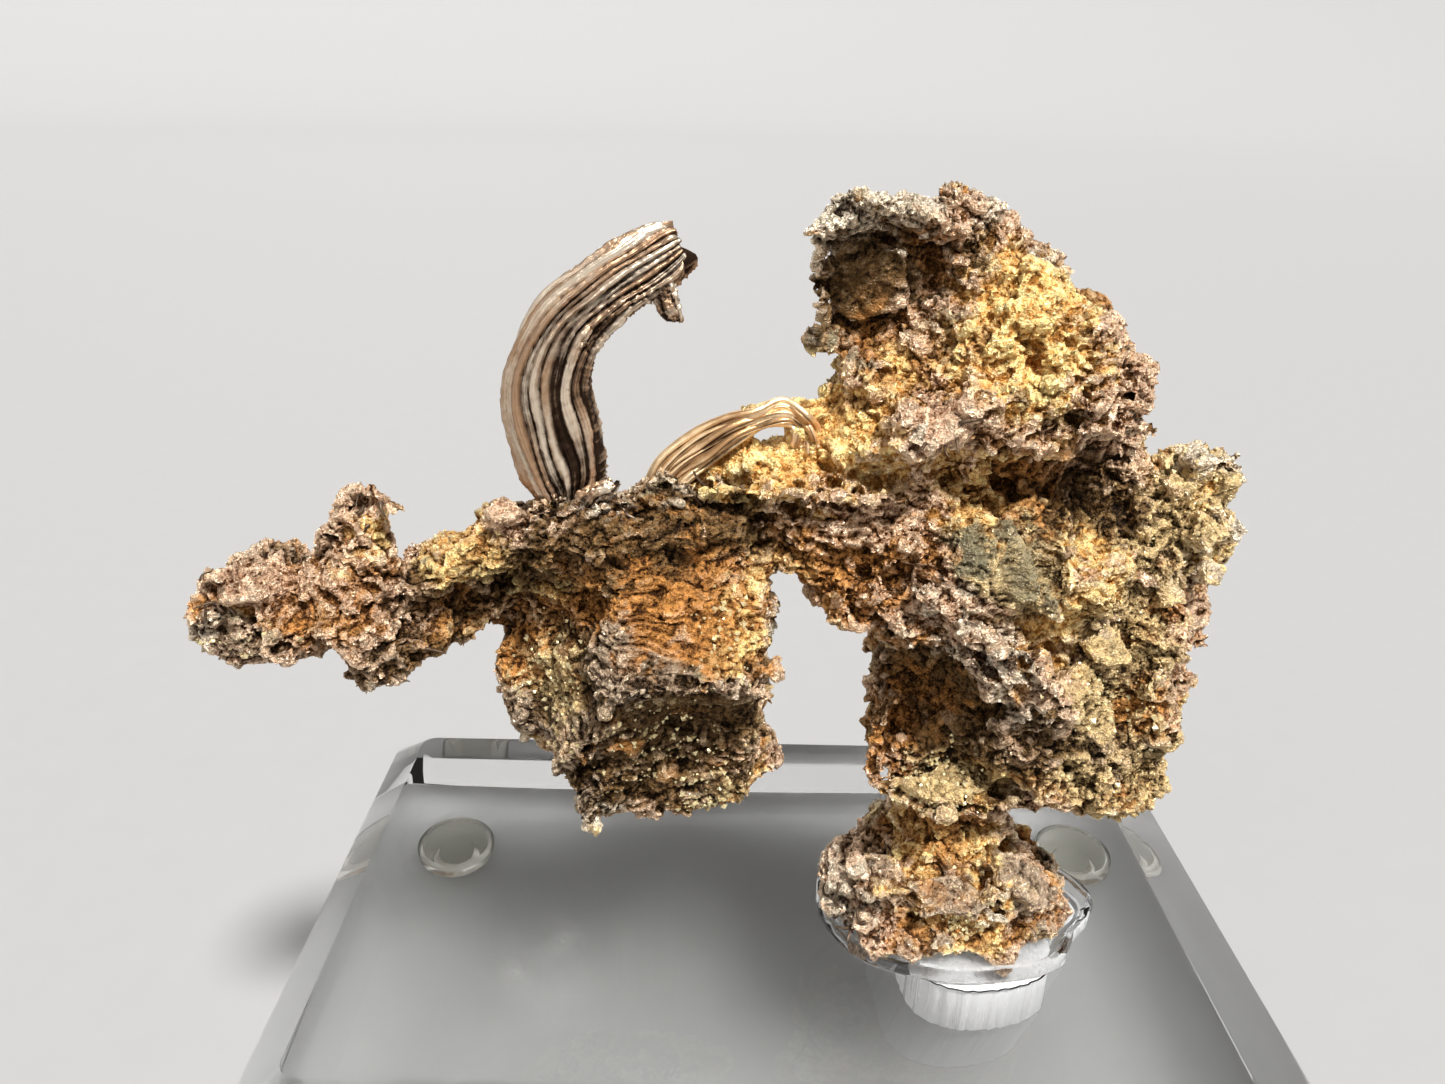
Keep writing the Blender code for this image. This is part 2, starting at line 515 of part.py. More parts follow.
def make_window(name, x, z, rx, rz):
    bm = bmesh.new()
    turn = [2 * math.pi * k / WINDOW_SIDES for k in range(WINDOW_SIDES)]
    rings = []
    for y in (WINDOW_FRONT, WINDOW_BACK):
        rings.append([bm.verts.new(metres((x + rx * math.cos(a), y, z + rz * math.sin(a))))
                      for a in turn])
    bridge_rings(bm, rings)
    return make_object(name, bm)


def inset_outline(corners, distance):
    """Move every edge of a counter-clockwise outline inwards by a distance."""
    count = len(corners)
    moved = []
    for i in range(count):
        before, here, after = (Vector(corners[(i + k) % count]) for k in (-1, 0, 1))
        first, second = (here - before).normalized(), (after - here).normalized()
        inward = Vector((-first.y, first.x)), Vector((-second.y, second.x))
        middle = (inward[0] + inward[1]).normalized()
        moved.append(here + middle * distance / middle.dot(inward[0]))
    return moved


def make_cell(name, corners):
    """Prism through the whole depth that holds one branch and stays half a gap inside."""
    area = sum(a[0] * b[1] - b[0] * a[1] for a, b in zip(corners, corners[1:] + corners[:1]))
    ordered = corners if area > 0 else tuple(reversed(corners))
    bm = bmesh.new()
    rings = []
    for y in (NEAR, FAR):
        rings.append([bm.verts.new(metres((c.x, y, c.y)))
                      for c in inset_outline(ordered, GAP / 2)])
    bridge_rings(bm, rings)
    return make_object(name, bm)


def keep_largest(mesh):
    """Drop crumbs that a cut left loose, so that the branch is one closed body."""
    bm = bmesh.new()
    bm.from_mesh(mesh)
    bm.verts.ensure_lookup_table()
    unseen = set(bm.verts)
    islands = []
    while unseen:
        island, edge = set(), [unseen.pop()]
        while edge:
            vert = edge.pop()
            island.add(vert)
            for link in vert.link_edges:
                other = link.other_vert(vert)
                if other in unseen:
                    unseen.discard(other)
                    edge.append(other)
        islands.append(island)
    islands.sort(key=len, reverse=True)
    for island in islands[1:]:
        bmesh.ops.delete(bm, geom=list(island), context="VERTS")
    bmesh.ops.dissolve_degenerate(bm, edges=bm.edges, dist=SLIVER * MM)
    bm.to_mesh(mesh)
    bm.free()


def make_branch(name, mass, clearance):
    """One branch of the specimen, parted from its neighbours at the forks by the gap."""
    branch = bpy.data.objects.new(name, mass.data.copy())
    bpy.context.scene.collection.objects.link(branch)
    branch.data.materials.clear()
    branch.data.materials.append(material(name))
    cut(branch, make_cell(name + "_cell", BRANCHES[name]), "INTERSECT")
    if name == "silver_column":
        cut(branch, clearance, "DIFFERENCE")
    settle(branch)
    keep_largest(branch.data)
    return branch


def make_specimen():
    mass = make_mass()
    for guide in (make_curl(), make_strap(), make_shred()):
        cut(mass, guide, "UNION")
    for number, window in enumerate(WINDOWS):
        cut(mass, make_window(f"window_guide_{number}", *window), "DIFFERENCE")
    settle(mass)
    clearance = make_tray_shape("tray_clearance", GAP)
    for name in BRANCHES:
        make_branch(name, mass, clearance)


def main():
    clear_scene()
    make_acrylic_base()
    x = STAND_WIDTH / 2 - BUMPER_INSET[0]
    y = STAND_DEPTH / 2 - BUMPER_INSET[1]
    for side, px in (("left", -x), ("right", x)):
        for end, py in (("front", -y), ("back", y)):
            make_bumper(f"bumper_{end}_{side}", px, py)
    make_tray_shape("acrylic_riser", 0.0, "acrylic")
    make_specimen()


main()
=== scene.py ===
"""Dresses the native silver specimen and its clear acrylic stand.

The branches of the specimen are grown from the frame's solids: joined, remeshed, studded with
shards and roughened, then painted by mineral and parted again. The curl and the strap are bundles
of wires fused into ribbons. The stand is polished acrylic with a carved, satin riser.
"""
import math

import bmesh
import bpy
import numpy as np
from bpy.props import (FloatProperty, FloatVectorProperty, IntProperty, PointerProperty)
from mathutils import Matrix, Vector


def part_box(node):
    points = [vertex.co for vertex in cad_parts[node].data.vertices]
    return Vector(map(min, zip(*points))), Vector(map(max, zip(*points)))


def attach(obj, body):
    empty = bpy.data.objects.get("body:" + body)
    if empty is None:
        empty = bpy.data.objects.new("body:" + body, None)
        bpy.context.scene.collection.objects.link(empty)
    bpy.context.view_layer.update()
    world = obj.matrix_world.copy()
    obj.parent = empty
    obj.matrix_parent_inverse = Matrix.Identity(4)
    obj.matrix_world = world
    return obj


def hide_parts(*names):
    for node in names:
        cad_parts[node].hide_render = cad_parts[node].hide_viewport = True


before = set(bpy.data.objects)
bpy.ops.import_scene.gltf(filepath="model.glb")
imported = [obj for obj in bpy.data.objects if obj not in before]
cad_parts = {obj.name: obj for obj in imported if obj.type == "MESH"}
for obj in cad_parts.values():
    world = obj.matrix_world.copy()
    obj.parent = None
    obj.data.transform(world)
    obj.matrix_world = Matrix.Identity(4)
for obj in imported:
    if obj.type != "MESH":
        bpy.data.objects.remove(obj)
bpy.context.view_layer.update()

bl_info = {
    "name": "Native silver specimen",
    "version": (1, 0, 0),
    "blender": (4, 5, 0),
    "location": "View3D > Sidebar > Specimen",
    "description": "Models a native silver specimen on its carved acrylic stand",
    "category": "Add Mesh",
}

MM = 0.001
BRANCHES = ("left_arm", "hanging_block", "silver_bridge", "silver_crown", "right_lobe",
            "silver_column")

# The forks in the front view: corners x, z of each branch's cell; the block has what is left
CELLS = {
    "left_arm": ((-60, 112), (-60, 30), (-37.2, 30), (-37.2, 40), (-27.8, 62.8), (-21.8, 77.3),
                 (-26, 77.3), (-26, 112)),
    "silver_bridge": ((-12.8, 77.3), (-8, 77.3), (-2.2, 70), (4.5, 61.9), (7.6, 85),
                      (0.5, 86.4), (-4, 87.6), (-12.8, 81.2)),
    "silver_crown": ((-4, 87.6), (0.5, 86.4), (7.6, 85), (28, 81.6), (41, 82.2), (60, 82.2),
                     (60, 112), (-4, 112)),
    "right_lobe": ((28, 81.6), (29.5, 69), (41, 60.5), (60, 60.5), (60, 82.2), (41, 82.2)),
    "silver_column": ((7.6, 85), (4.5, 61.9), (0.3, 30), (60, 30), (60, 60.5), (41, 60.5),
                      (29.5, 69), (28, 81.6)),
}

# How much of each mineral lies anywhere, how far it keeps to crests, how metallic it is and how
# dark its pits are painted: random dark specks and painted shade in the hollows
BACKGROUND = {"gold": 0.13, "mauve": 0.30, "pale": 0.08, "olive": 0.14, "rust": 0.34, "dark": 0.32,
              "teal": 0.05, "slate": 0.05}
ON_CREST = {"gold": -0.3, "mauve": 0.75, "pale": 0.9, "olive": 0.3, "rust": -0.8, "dark": -0.8,
            "teal": 0.3, "slate": 0.3}
METAL = {"gold": 0.4, "mauve": 0.75, "pale": 0.85, "olive": 0.5, "rust": 0.08, "dark": 0.15,
         "teal": 0.4, "slate": 0.5}
PIT_SPECKS_AND_SHADE = {"gold": 0.55, "mauve": 0.85, "pale": 0.75, "olive": 0.8, "rust": 0.7, "dark": 0.9,
        "teal": 0.7, "slate": 0.7}
MINERALS = ("gold", "mauve", "pale", "olive", "rust", "dark", "teal", "slate")

# Where each mineral shows: centre x, y, z and reach, in millimetres
PATCHES = {
    "gold": (
        (18.0, -3.0, 88.6, 3.4), (-10.0, -6.4, 71.0, 3.0), (24.0, -3.6, 69.6, 3.0),
        (3.6, -12.8, 83.6, 2.4), (-2.0, -12.0, 81.6, 2.6),
        (12.4, -16.8, 40.0, 1.8), (17.6, -17.2, 39.0, 1.6), (16.6, -17.8, 64.6, 1.3),
        (13.0, -17.4, 68.2, 1.2), (19.4, -17.4, 61.6, 1.1), (10.6, -15.6, 44.6, 1.8),
        (15.2, -14.6, 91.2, 4.6), (18.0, -13.8, 91.2, 3.6), (12.6, -13.6, 92.4, 3.0),
        (11.8, -16.0, 88.6, 2.2), (6.3, -12.0, 88.6, 1.6), (5.0, -12.0, 85.0, 1.8),
        (1.5, -12.2, 82.5, 4.4), (-3.8, -12.3, 80.8, 3.6), (5.3, -13.8, 81.2, 3.6),
        (-7.2, -12.0, 80.4, 2.4), (-25.6, -15.2, 73.4, 2.4), (-28.6, -16.0, 71.9, 2.4),
        (-35.5, -19.2, 69.7, 1.3), (-32.6, -15.6, 75.4, 1.8), (-5.5, -17.4, 67.9, 2.0),
        (-4.6, -15.6, 71.6, 2.0), (21.1, -14.2, 66.6, 2.6), (22.6, -13.6, 72.6, 2.4),
        (17.2, -15.6, 52.4, 1.4), (12.8, -14.5, 44.7, 3.0),
        (15.5, -18.0, 38.8, 2.8), (18.4, -15.5, 43.0, 3.0), (9.6, -16.4, 43.2, 2.4),
        (13.0, -14.6, 78.0, 2.6), (-38.8, -18.0, 70.2, 1.2), (-36.2, -17.0, 72.2, 1.3),
        (-37.2, -18.6, 68.6, 1.1), (-43.0, -18.0, 69.6, 1.4), (-14.6, -12.0, 78.6, 1.0),
        (16.2, -13.6, 94.4, 2.4), (9.0, -14.6, 90.6, 2.0), (-1.0, -11.8, 82.6, 3.0),
        (23.6, -14.4, 75.0, 2.0), (32.6, -7.4, 77.4, 2.4), (34.2, -9.6, 73.0, 2.2),
        (17.6, -12.8, 82.6, 1.6), (14.0, -12.8, 82.0, 1.6), (1.4, -11.8, 84.4, 2.4)),
    "mauve": (
        (12.0, -2.8, 95.0, 3.0), (20.0, -3.6, 78.0, 3.2), (-34.0, -11.6, 70.6, 3.0),
        (21.7, -14.7, 86.6, 3.8), (20.9, -13.4, 92.4, 2.6), (23.4, -11.0, 88.0, 3.0),
        (9.6, -12.6, 93.6, 2.6), (8.9, -17.6, 85.8, 2.8), (11.8, -17.1, 87.4, 2.4),
        (5.4, -15.4, 84.2, 2.2), (7.4, -12.8, 91.0, 2.2), (3.4, -12.0, 88.0, 1.8),
        (10.4, -11.2, 98.6, 2.0),
        (-0.8, -14.6, 79.1, 2.8), (3.0, -15.5, 79.4, 2.8), (6.6, -15.4, 78.4, 3.0),
        (3.8, -15.5, 76.4, 3.0), (9.7, -16.6, 71.1, 2.6), (13.5, -17.5, 69.4, 2.4),
        (15.7, -17.4, 65.6, 3.2), (20.1, -17.2, 63.3, 3.0), (4.6, -15.0, 41.6, 2.4),
        (-43.4, -18.0, 66.3, 3.0),
        (-39.6, -17.6, 72.0, 2.4), (-36.7, -16.6, 74.0, 2.6), (-32.6, -16.6, 67.6, 2.4),
        (-37.2, -18.2, 69.8, 3.2), (-34.2, -17.8, 70.2, 2.6),
        (-34.5, -15.5, 77.4, 2.6), (5.1, -14.6, 38.9, 4.0), (32.4, -11.0, 66.8, 2.6),
        (24.6, -9.0, 82.6, 2.6), (-38.6, -19.2, 66.2, 2.0), (7.8, -18.0, 37.4, 2.8),
        (14.6, -17.2, 41.9, 2.6), (9.2, -15.2, 42.6, 2.4), (21.0, -15.8, 42.6, 3.0),
        (-43.4, -17.8, 71.6, 2.4), (-23.2, -14.8, 77.0, 1.6)),
    "pale": (
        (27.0, -3.8, 55.6, 2.6), (-8.0, -6.5, 54.0, 2.6), (14.0, -2.0, 42.0, 2.6),
        (4.2, -14.4, 40.0, 2.4), (4.6, -14.0, 37.6, 2.2), (16.2, -17.6, 65.2, 2.4),
        (5.2, -14.8, 39.4, 2.6), (6.6, -15.8, 41.4, 1.8),
        (15.0, -17.6, 67.4, 2.0),
        (13.2, -17.4, 69.2, 2.0), (9.6, -16.6, 71.4, 1.6), (-10.4, -13.0, 78.8, 1.2),
        (-14.6, -14.0, 77.9, 1.1), (-6.0, -12.8, 78.8, 1.1),
        (3.2, -12.8, 99.9, 2.6), (0.5, -12.6, 98.9, 1.8), (6.8, -11.6, 99.4, 1.8),
        (12.1, -10.9, 99.6, 1.4), (7.0, -18.2, 84.6, 1.6), (16.4, -9.0, 96.8, 1.4),
        (35.0, -6.0, 79.2, 2.0), (35.8, -7.4, 75.0, 1.8),
        (32.4, -8.4, 80.4, 1.8), (33.0, -11.8, 74.6, 2.0), (30.0, -13.2, 71.4, 1.4), (-12.4, -12.8, 78.3, 1.3),
        (-8.5, -12.4, 78.1, 1.2), (-13.0, -20.3, 65.2, 1.1), (-5.6, -19.4, 65.2, 1.1),
        (-17.6, -17.6, 56.2, 1.1), (-17.0, -15.2, 49.2, 1.6),
        (-46.2, -18.6, 67.4, 2.2), (-42.6, -18.2, 72.4, 1.8), (13.6, -18.4, 41.4, 2.2),
        (18.4, -17.6, 40.4, 1.8), (18.6, -17.8, 62.0, 1.6), (22.6, -13.4, 83.4, 1.8),
        (-18.4, -15.6, 51.6, 1.1), (-16.0, -14.4, 77.8, 0.9), (16.0, -17.6, 42.0, 1.2),
        (13.0, -17.4, 67.8, 1.6), (19.4, -17.4, 62.6, 1.4), (5.2, -15.6, 37.6, 1.6),
        (7.6, -15.2, 43.2, 1.1), (20.6, -15.6, 43.4, 1.2), (4.8, -14.8, 40.6, 1.6),
        (7.6, -17.4, 38.6, 1.6), (14.1, -18.9, 37.3, 1.2), (12.8, -17.6, 69.8, 1.4),
        (16.6, -17.8, 66.6, 1.5), (18.6, -17.9, 63.8, 1.5)),
    "olive": (
        (31.0, -4.0, 72.0, 3.0), (-21.0, -6.8, 60.0, 3.0),
        (32.0, -6.4, 79.0, 3.4), (33.9, -9.3, 75.3, 4.0), (30.6, -12.6, 73.0, 3.4),
        (28.5, -14.5, 66.8, 3.0), (27.6, -14.8, 60.4, 3.4), (25.0, -16.2, 55.4, 2.8),
        (31.0, -13.4, 53.0, 3.0), (15.5, -16.8, 74.6, 2.6), (17.5, -16.6, 71.2, 2.6),
        (-20.6, -13.4, 62.6, 3.0), (-19.8, -14.0, 59.0, 2.8), (12.6, -14.0, 52.4, 2.6),
        (24.8, -13.8, 70.0, 2.4),
        (21.6, -15.6, 43.0, 1.8)),
    "rust": (
        (12.0, -4.0, 63.0, 3.4), (-18.0, -6.4, 64.0, 3.2), (8.0, -3.6, 84.0, 3.4),
        (26.0, -4.0, 64.6, 3.0), (7.4, -13.0, 54.6, 2.6), (-28.0, -7.0, 68.0, 3.0),
        (-37.8, -18.4, 70.0, 2.6), (-34.4, -17.4, 70.4, 2.2), (-26.4, -14.8, 74.0, 2.2),
        (12.0, -16.6, 39.4, 2.6), (16.8, -17.4, 38.4, 2.0), (11.6, -15.8, 42.8, 1.4),
        (17.6, -16.4, 43.8, 1.4),
        (-9.0, -17.8, 69.6, 3.0), (-7.2, -18.4, 67.2, 2.0),
        (-12.4, -16.9, 72.6, 2.6), (-8.4, -15.6, 72.6, 2.6), (-12.1, -17.6, 69.0, 3.2),
        (1.9, -14.4, 73.0, 3.6), (7.2, -15.8, 74.4, 3.0), (4.0, -13.8, 69.6, 2.8),
        (-28.5, -14.7, 67.4, 3.0), (14.0, -17.5, 40.2, 2.6), (14.0, -14.0, 47.4, 3.4),
        (31.2, -11.5, 68.6, 1.8), (28.8, -14.0, 58.4, 1.8), (15.8, -12.3, 80.6, 3.4),
        (-22.7, -11.6, 65.7, 3.2), (-23.4, -10.8, 62.6, 2.0), (8.6, -10.4, 55.4, 2.2), (19.6, -13.0, 80.6, 2.4),
        (-17.2, -15.6, 69.4, 1.8), (11.2, -13.0, 90.2, 2.4), (10.6, -13.4, 64.8, 2.0),
        (6.2, -10.4, 92.0, 1.8), (3.6, -10.6, 91.4, 2.0),
        (3.4, -12.0, 86.4, 2.4), (8.8, -10.8, 96.6, 2.0), (7.4, -13.4, 88.0, 1.8),
        (-9.0, -14.8, 76.6, 2.0), (-13.4, -15.6, 75.4, 2.2), (-18.4, -15.2, 73.0, 2.2),
        (-6.4, -17.2, 68.8, 2.4), (-40.0, -17.6, 70.8, 2.2), (-36.6, -17.6, 70.4, 2.4),
        (-33.8, -16.2, 72.6, 2.0), (14.0, -15.4, 48.4, 2.4), (16.4, -12.6, 81.0, 2.6),
        (12.8, -12.8, 80.0, 2.2), (10.6, -12.6, 58.8, 2.8), (12.4, -16.4, 44.0, 2.6), (11.4, -13.2, 59.6, 3.2),
        (29.4, -15.0, 61.0, 2.4), (-5.6, -17.0, 69.6, 3.0), (-12.6, -15.6, 76.6, 1.6),
        (-38.0, -17.8, 69.0, 2.0), (-34.8, -18.0, 68.4, 1.8),
        (22.0, -15.6, 39.0, 2.2),
        (12.8, -16.2, 45.0, 2.6), (14.8, -18.2, 38.8, 2.0), (-9.5, -16.8, 60.0, 1.3),
        (-14.2, -17.0, 57.6, 1.3), (-5.4, -16.0, 55.0, 1.3), (-40.6, -17.8, 68.4, 1.8),
        (-35.4, -17.4, 70.6, 1.6), (8.2, -11.0, 57.0, 1.8), (28.9, -15.0, 60.6, 1.8)),
    # Dark matrix, and painted shade: the patches that sit on the caves and in the hub's hole darken them as
    # shade would.
    "dark": (
        (14.0, -4.0, 57.0, 3.2), (-14.0, -6.4, 52.0, 2.8), (20.0, -3.2, 81.0, 2.8),
        (-12.0, -15.8, 75.8, 2.6), (-6.0, -15.6, 76.2, 2.0), (-17.6, -15.4, 75.2, 2.2),
        (-33.0, -17.6, 64.6, 2.2), (-30.4, -16.6, 64.8, 2.0), (-36.0, -19.0, 65.4, 1.6),
        (21.4, -17.6, 59.0, 2.8), (22.6, -17.0, 57.2, 2.0), (26.6, -15.2, 63.2, 1.8),
        (21.6, -15.4, 61.8, 1.4), (23.6, -15.2, 68.4, 1.2),
        # Painted shadow under the foot's three slabs.
        (14.6, -18.2, 40.0, 1.4), (9.2, -16.8, 40.4, 1.3), (22.2, -17.0, 40.6, 1.3),
        (28.8, -14.6, 56.4, 1.4), (-24.2, -12.8, 72.8, 2.4), (-27.6, -15.0, 71.0, 1.6), (17.8, -15.6, 52.0, 1.3),
        (22.6, -10.3, 78.6, 3.4), (25.0, -10.8, 77.0, 2.2), (9.6, -11.6, 60.6, 3.2),
        (12.0, -13.6, 57.4, 3.6), (-13.0, -17.7, 60.0, 4.0), (-8.1, -15.5, 57.4, 4.6),
        (-4.6, -15.9, 57.4, 3.6), (-10.5, -14.5, 51.4, 3.6), (-15.6, -15.4, 52.6, 3.0),
        (-3.3, -13.6, 75.0, 2.2), (-17.8, -16.0, 66.4, 2.4), (-26.0, -13.0, 67.4, 3.0),
        (3.6, -10.2, 96.4, 3.4), (2.4, -10.6, 93.6, 3.0), (5.4, -10.2, 94.6, 2.6), (-19.6, -13.6, 72.6, 2.2), (-24.6, -10.6, 68.0, 3.0),
        (-6.6, -15.6, 76.4, 2.2), (17.6, -14.6, 57.0, 2.6), (-14.0, -15.6, 76.0, 3.0),
        (-18.6, -14.6, 75.0, 2.4), (-9.6, -14.6, 76.0, 2.6), (-11.0, -19.6, 62.6, 3.0),
        (-6.0, -18.8, 62.4, 3.0), (-21.6, -12.6, 58.0, 2.0), (11.0, -13.4, 62.6, 3.2),
        (14.2, -15.2, 60.0, 2.8), (8.6, -11.4, 65.0, 2.6), (12.6, -14.8, 55.2, 2.4),
        (12.0, -14.8, 49.0, 1.8), (16.0, -14.8, 49.0, 1.8), (-12.0, -15.4, 74.6, 2.4),
        (-5.4, -14.6, 76.0, 1.8), (-16.4, -15.0, 73.6, 2.4),
        (20.4, -18.2, 59.4, 2.0), (26.9, -14.9, 64.6, 1.3), (18.0, -12.4, 79.4, 2.4),
        (-34.0, -16.6, 63.4, 2.0), (18.8, -17.0, 73.2, 0.9), (-33.6, -17.2, 66.6, 1.8),
        (-40.8, -18.6, 66.0, 1.4), (-37.4, -15.8, 75.6, 1.4), (-31.0, -15.6, 69.6, 1.8),
        (8.4, -12.0, 94.4, 1.2), (10.8, -11.0, 97.4, 1.6), (-11.5, -15.0, 76.8, 2.4),
        (-7.0, -14.4, 77.0, 2.2), (-3.4, -14.2, 77.2, 1.8), (-34.6, -18.4, 66.4, 1.6),
        (-43.4, -18.4, 65.2, 1.6), (-20.6, -14.4, 74.6, 2.2), (-16.6, -15.4, 75.2, 2.0),
        (-30.6, -16.4, 67.8, 2.2), (-28.4, -14.6, 69.4, 2.2), (-32.6, -16.0, 70.0, 1.6)),
    "teal": (
        (-43.2, -18.4, 67.4, 2.0), (-40.4, -18.2, 68.0, 1.4), (-30.2, -16.2, 73.0, 1.1),
        (-8.2, -19.7, 65.9, 0.8), (-11.6, -14.4, 78.8, 1.1), (9.2, -12.8, 92.0, 1.3),
        (2.6, -11.8, 89.4, 1.2), (16.2, -16.8, 73.6, 2.8), (11.4, -15.0, 75.8, 1.8),
        (18.6, -17.0, 70.6, 1.6), (4.8, -13.6, 82.2, 1.0), (7.0, -15.2, 43.8, 1.2),
        (13.8, -18.8, 37.8, 1.0), (-18.0, -17.0, 57.0, 1.2)),
    "slate": (
        (14.4, -17.3, 42.2, 2.4), (21.2, -16.0, 42.8, 2.4),
        (-13.4, -20.3, 65.2, 1.8), (-9.6, -20.2, 65.2, 1.8), (-5.6, -19.4, 65.0, 1.8),
        (-15.6, -18.9, 62.0, 1.6), (-17.4, -17.5, 58.4, 1.8), (-19.2, -16.2, 55.4, 1.8),
        (-18.4, -15.6, 51.6, 1.6), (-16.4, -18.4, 66.6, 2.2), (-14.0, -18.4, 68.0, 1.6),
        (-44.6, -18.4, 66.4, 2.6), (-40.6, -18.8, 66.2, 2.2), (-34.4, -18.4, 67.2, 2.2),
        (-37.4, -17.6, 73.0, 1.6), (-22.6, -12.4, 57.2, 2.6), (21.4, -15.4, 40.2, 1.8),
        (12.6, -17.4, 37.4, 1.6), (26.4, -15.6, 57.4, 2.0), (24.6, -15.6, 68.6, 1.8),
        (30.6, -13.2, 73.4, 1.8), (8.6, -12.6, 92.6, 1.8)),
}

# Broken ledges: plate length, depth and thickness, then the places they run through
LEDGES = (
    (1.5, 1.5, 0.3, ((-14.6, -19.9, 64.8), (-12.6, -20.2, 64.7), (-8.4, -19.9, 64.9),
                     (-5.2, -19.2, 64.8), (-2.8, -17.8, 65.6))),
    (2.2, 2.0, 0.7, ((-14.6, -19.8, 64.4), (-17.0, -18.1, 59.0), (-19.2, -16.4, 55.4))),
    (1.7, 1.6, 0.5, ((-19.2, -16.2, 55.4), (-18.4, -15.8, 51.0), (-17.4, -15.4, 47.8))),
    (1.6, 1.4, 0.4, ((-7.0, -13.4, 78.6), (-3.6, -13.8, 79.0), (-0.6, -14.4, 79.2),
                     (3.0, -14.8, 79.4), (7.4, -15.2, 79.6))),
    (1.8, 1.4, 0.45, ((16.8, -14.7, 90.3), (20.4, -13.6, 91.2), (23.4, -11.8, 89.8))),
    (1.8, 1.4, 0.4, ((16.8, -14.9, 88.4), (20.8, -14.4, 88.9), (24.6, -12.2, 87.6))),
    (1.8, 1.4, 0.4, ((17.4, -15.0, 86.6), (21.4, -14.6, 87.0), (25.2, -12.4, 85.9))),
    (2.0, 1.6, 0.45, ((18.0, -15.2, 84.8), (22.0, -14.6, 85.2), (25.6, -12.6, 84.2))),
    (2.2, 1.5, 0.5, ((8.6, -16.6, 71.8), (13.2, -17.6, 69.2), (16.8, -17.8, 66.6),
                     (20.8, -17.2, 63.0))),
    (2.0, 1.4, 0.5, ((12.4, -17.4, 66.8), (16.4, -17.6, 63.8), (19.4, -17.0, 60.6))),
    (1.5, 1.6, 0.6, ((9.4, -13.0, 52.4), (12.6, -14.8, 51.6), (16.0, -15.4, 51.0),
                     (19.4, -15.2, 52.0))),
    (2.4, 1.6, 0.6, ((7.0, -15.4, 41.6), (9.8, -16.2, 41.6), (14.6, -17.2, 41.2),
                     (18.6, -16.4, 42.2), (22.0, -15.2, 41.0))),
    (1.5, 1.7, 0.9, ((8.6, -12.4, 58.8), (7.6, -12.6, 56.8), (7.2, -12.8, 54.6),
                     (7.2, -13.2, 52.6), (8.4, -13.8, 51.0), (10.4, -14.2, 50.4))),
    (1.4, 1.2, 0.6, ((-13.6, -12.6, 78.6), (-11.6, -12.8, 79.2), (-9.6, -12.6, 79.0))),
    (1.1, 1.2, 0.4, ((0.2, -10.9, 97.4), (0.4, -10.6, 94.0), (0.8, -10.5, 90.8))),
    (1.7, 1.6, 0.6, ((-0.8, -12.8, 98.2), (1.6, -13.0, 99.5), (4.4, -12.8, 100.0),
                     (7.4, -11.8, 99.4), (9.0, -11.2, 98.6))),
    (1.5, 1.3, 0.4, ((-45.6, -18.4, 72.6), (-44.0, -18.2, 72.9), (-42.4, -17.8, 73.2))),
    (1.6, 1.3, 0.4, ((-20.8, -13.6, 77.2), (-16.4, -14.4, 77.5), (-12.4, -13.6, 78.0),
                     (-8.4, -12.8, 78.2), (-4.2, -13.2, 78.4))),
    (1.8, 1.3, 0.5, ((-36.6, -15.6, 75.6), (-34.6, -15.2, 78.4), (-31.8, -14.8, 77.6))),
    (1.6, 1.3, 0.45, ((29.4, -7.4, 79.6), (32.2, -6.0, 80.6), (36.0, -6.2, 79.6))),
    (1.5, 1.2, 0.4, ((-34.2, -17.6, 65.8), (-32.4, -17.4, 64.4), (-30.6, -15.6, 66.2))),
    (1.5, 1.3, 0.5, ((24.6, -14.8, 52.6), (28.4, -14.8, 51.0), (31.6, -13.6, 52.0))),
)

